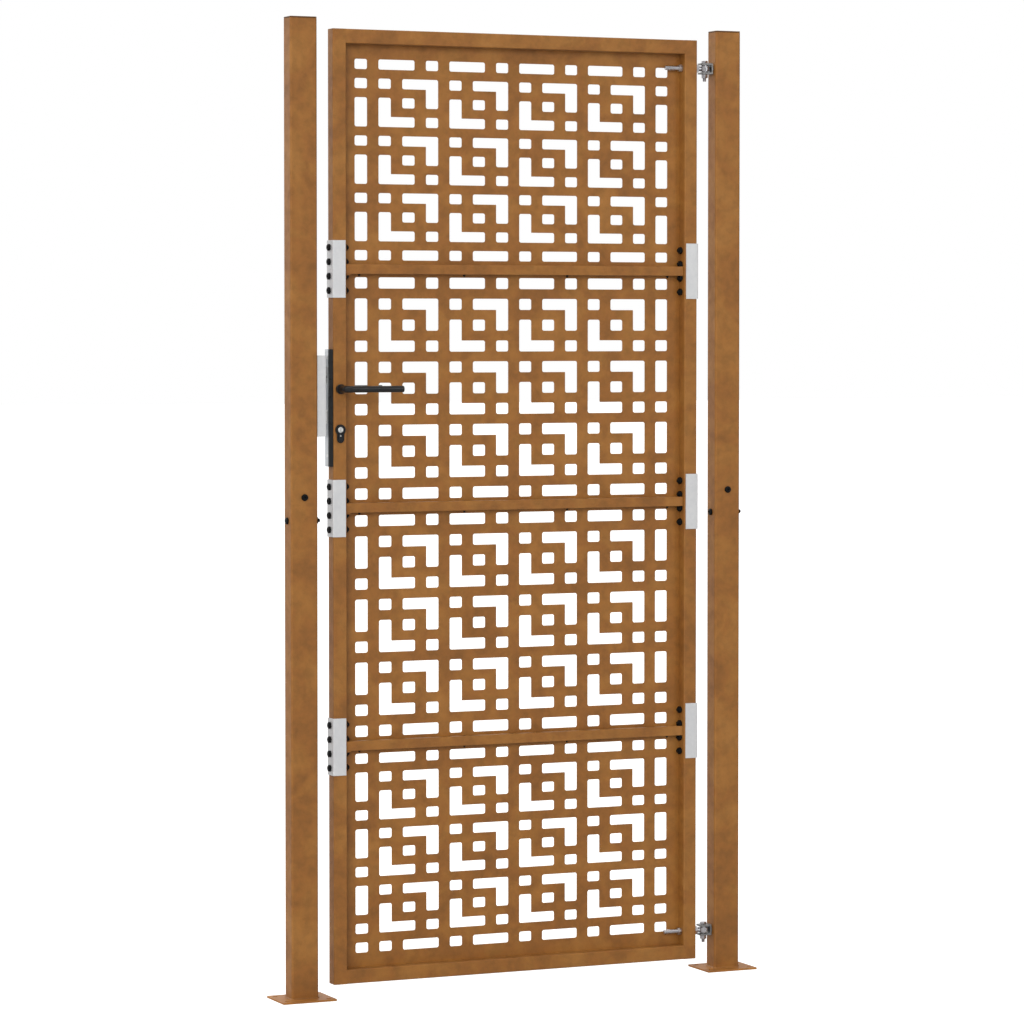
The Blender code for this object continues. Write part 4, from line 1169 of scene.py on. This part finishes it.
def make_light(name, place, target, size, energy, glossy=True):
    light = bpy.data.lights.new(name, "AREA")
    light.shape, light.size, light.energy = "DISK", size, energy
    made = placed(name, light)
    made.location = place
    made.rotation_euler = (Vector(target) - Vector(place)).to_track_quat("-Z", "Y").to_euler()
    made.visible_glossy = glossy


def make_world():
    """White to the camera; to the gate, a sky that is brighter to the left, behind and above."""
    world = bpy.data.worlds.new("studio")
    world.use_nodes = True
    tree = world.node_tree
    tree.nodes.clear()

    def add(kind, *inputs):
        made = tree.nodes.new(kind)
        for k, output in enumerate(inputs):
            tree.links.new(output, made.inputs[k])
        return made

    place = add("ShaderNodeTexCoord").outputs["Generated"]
    apart = add("ShaderNodeSeparateXYZ", place)

    def across(axis, *stops):
        """A brightness that changes along one axis, from -1 to 1."""
        spread = add("ShaderNodeMapRange", apart.outputs[axis])
        spread.inputs[1].default_value = -1.0
        ramp = add("ShaderNodeValToRGB", spread.outputs[0])
        set_stops(ramp.color_ramp, [((at + 1) / 2, (value, value, value)) for at, value in stops])
        return ramp.outputs[0]

    def times(first, second):
        made = add("ShaderNodeVectorMath", first, second)
        made.operation = "MULTIPLY"
        return made.outputs[0]

    beside = across("X", (-1.0, 1.45), (0.30, 1.0), (0.75, 0.08))
    side = times(beside, across("Y", (-1.0, 0.34), (0.0, 0.66), (0.9, 1.25)))
    # Reflections see a sky that is brighter overhead as well.
    sky = times(side, across("Z", (-1.0, 0.6), (0.0, 0.75), (0.45, 1.25), (0.85, 2.3)))
    path = add("ShaderNodeLightPath")
    pick = add("ShaderNodeMix", path.outputs["Is Glossy Ray"])
    pick.data_type = "RGBA"
    tree.links.new(side, pick.inputs[6])
    tree.links.new(sky, pick.inputs[7])
    lit, seen = add("ShaderNodeBackground", pick.outputs[2]), add("ShaderNodeBackground")
    seen.inputs["Color"].default_value = (1, 1, 1, 1)
    blend = add("ShaderNodeMixShader", path.outputs["Is Camera Ray"], lit.outputs[0], seen.outputs[0])
    add("ShaderNodeOutputWorld", blend.outputs[0])
    bpy.context.scene.world = world


# The direction is turned down from level, then to the right of +Y, in degrees.
CAMERA_PLACE, CAMERA_DOWN, CAMERA_RIGHT = (-3.4759, -7.6492, 1.4057), 1.941, 24.361
LENS, SENSOR, SHIFT_Y = 138.41, 36.0, -0.05


def make_camera():
    lens = bpy.data.cameras.new("camera")
    lens.lens, lens.sensor_width, lens.shift_y = LENS, SENSOR, SHIFT_Y
    lens.clip_end = 200.0
    made = placed("camera", lens)
    made.location = CAMERA_PLACE
    made.rotation_euler = (math.radians(90 - CAMERA_DOWN), 0.0, -math.radians(CAMERA_RIGHT))
    bpy.context.scene.camera = made


make_floor()
make_light("key", (-12.5, -19.3, 7.0), (0, 0, 1.0), 15.0, 3600.0, False)
make_light("overhead", (-1.5, -4.0, 12.0), (0, 0, 0.8), 9.0, 300.0, False)
make_light("strip", (3.3, -7.3, 3.9), (0, 0, 1.2), 3.0, 80.0)
make_world()
make_camera()
bpy.context.scene.view_settings.view_transform = "Standard"
bpy.context.scene.view_settings.look = "None"
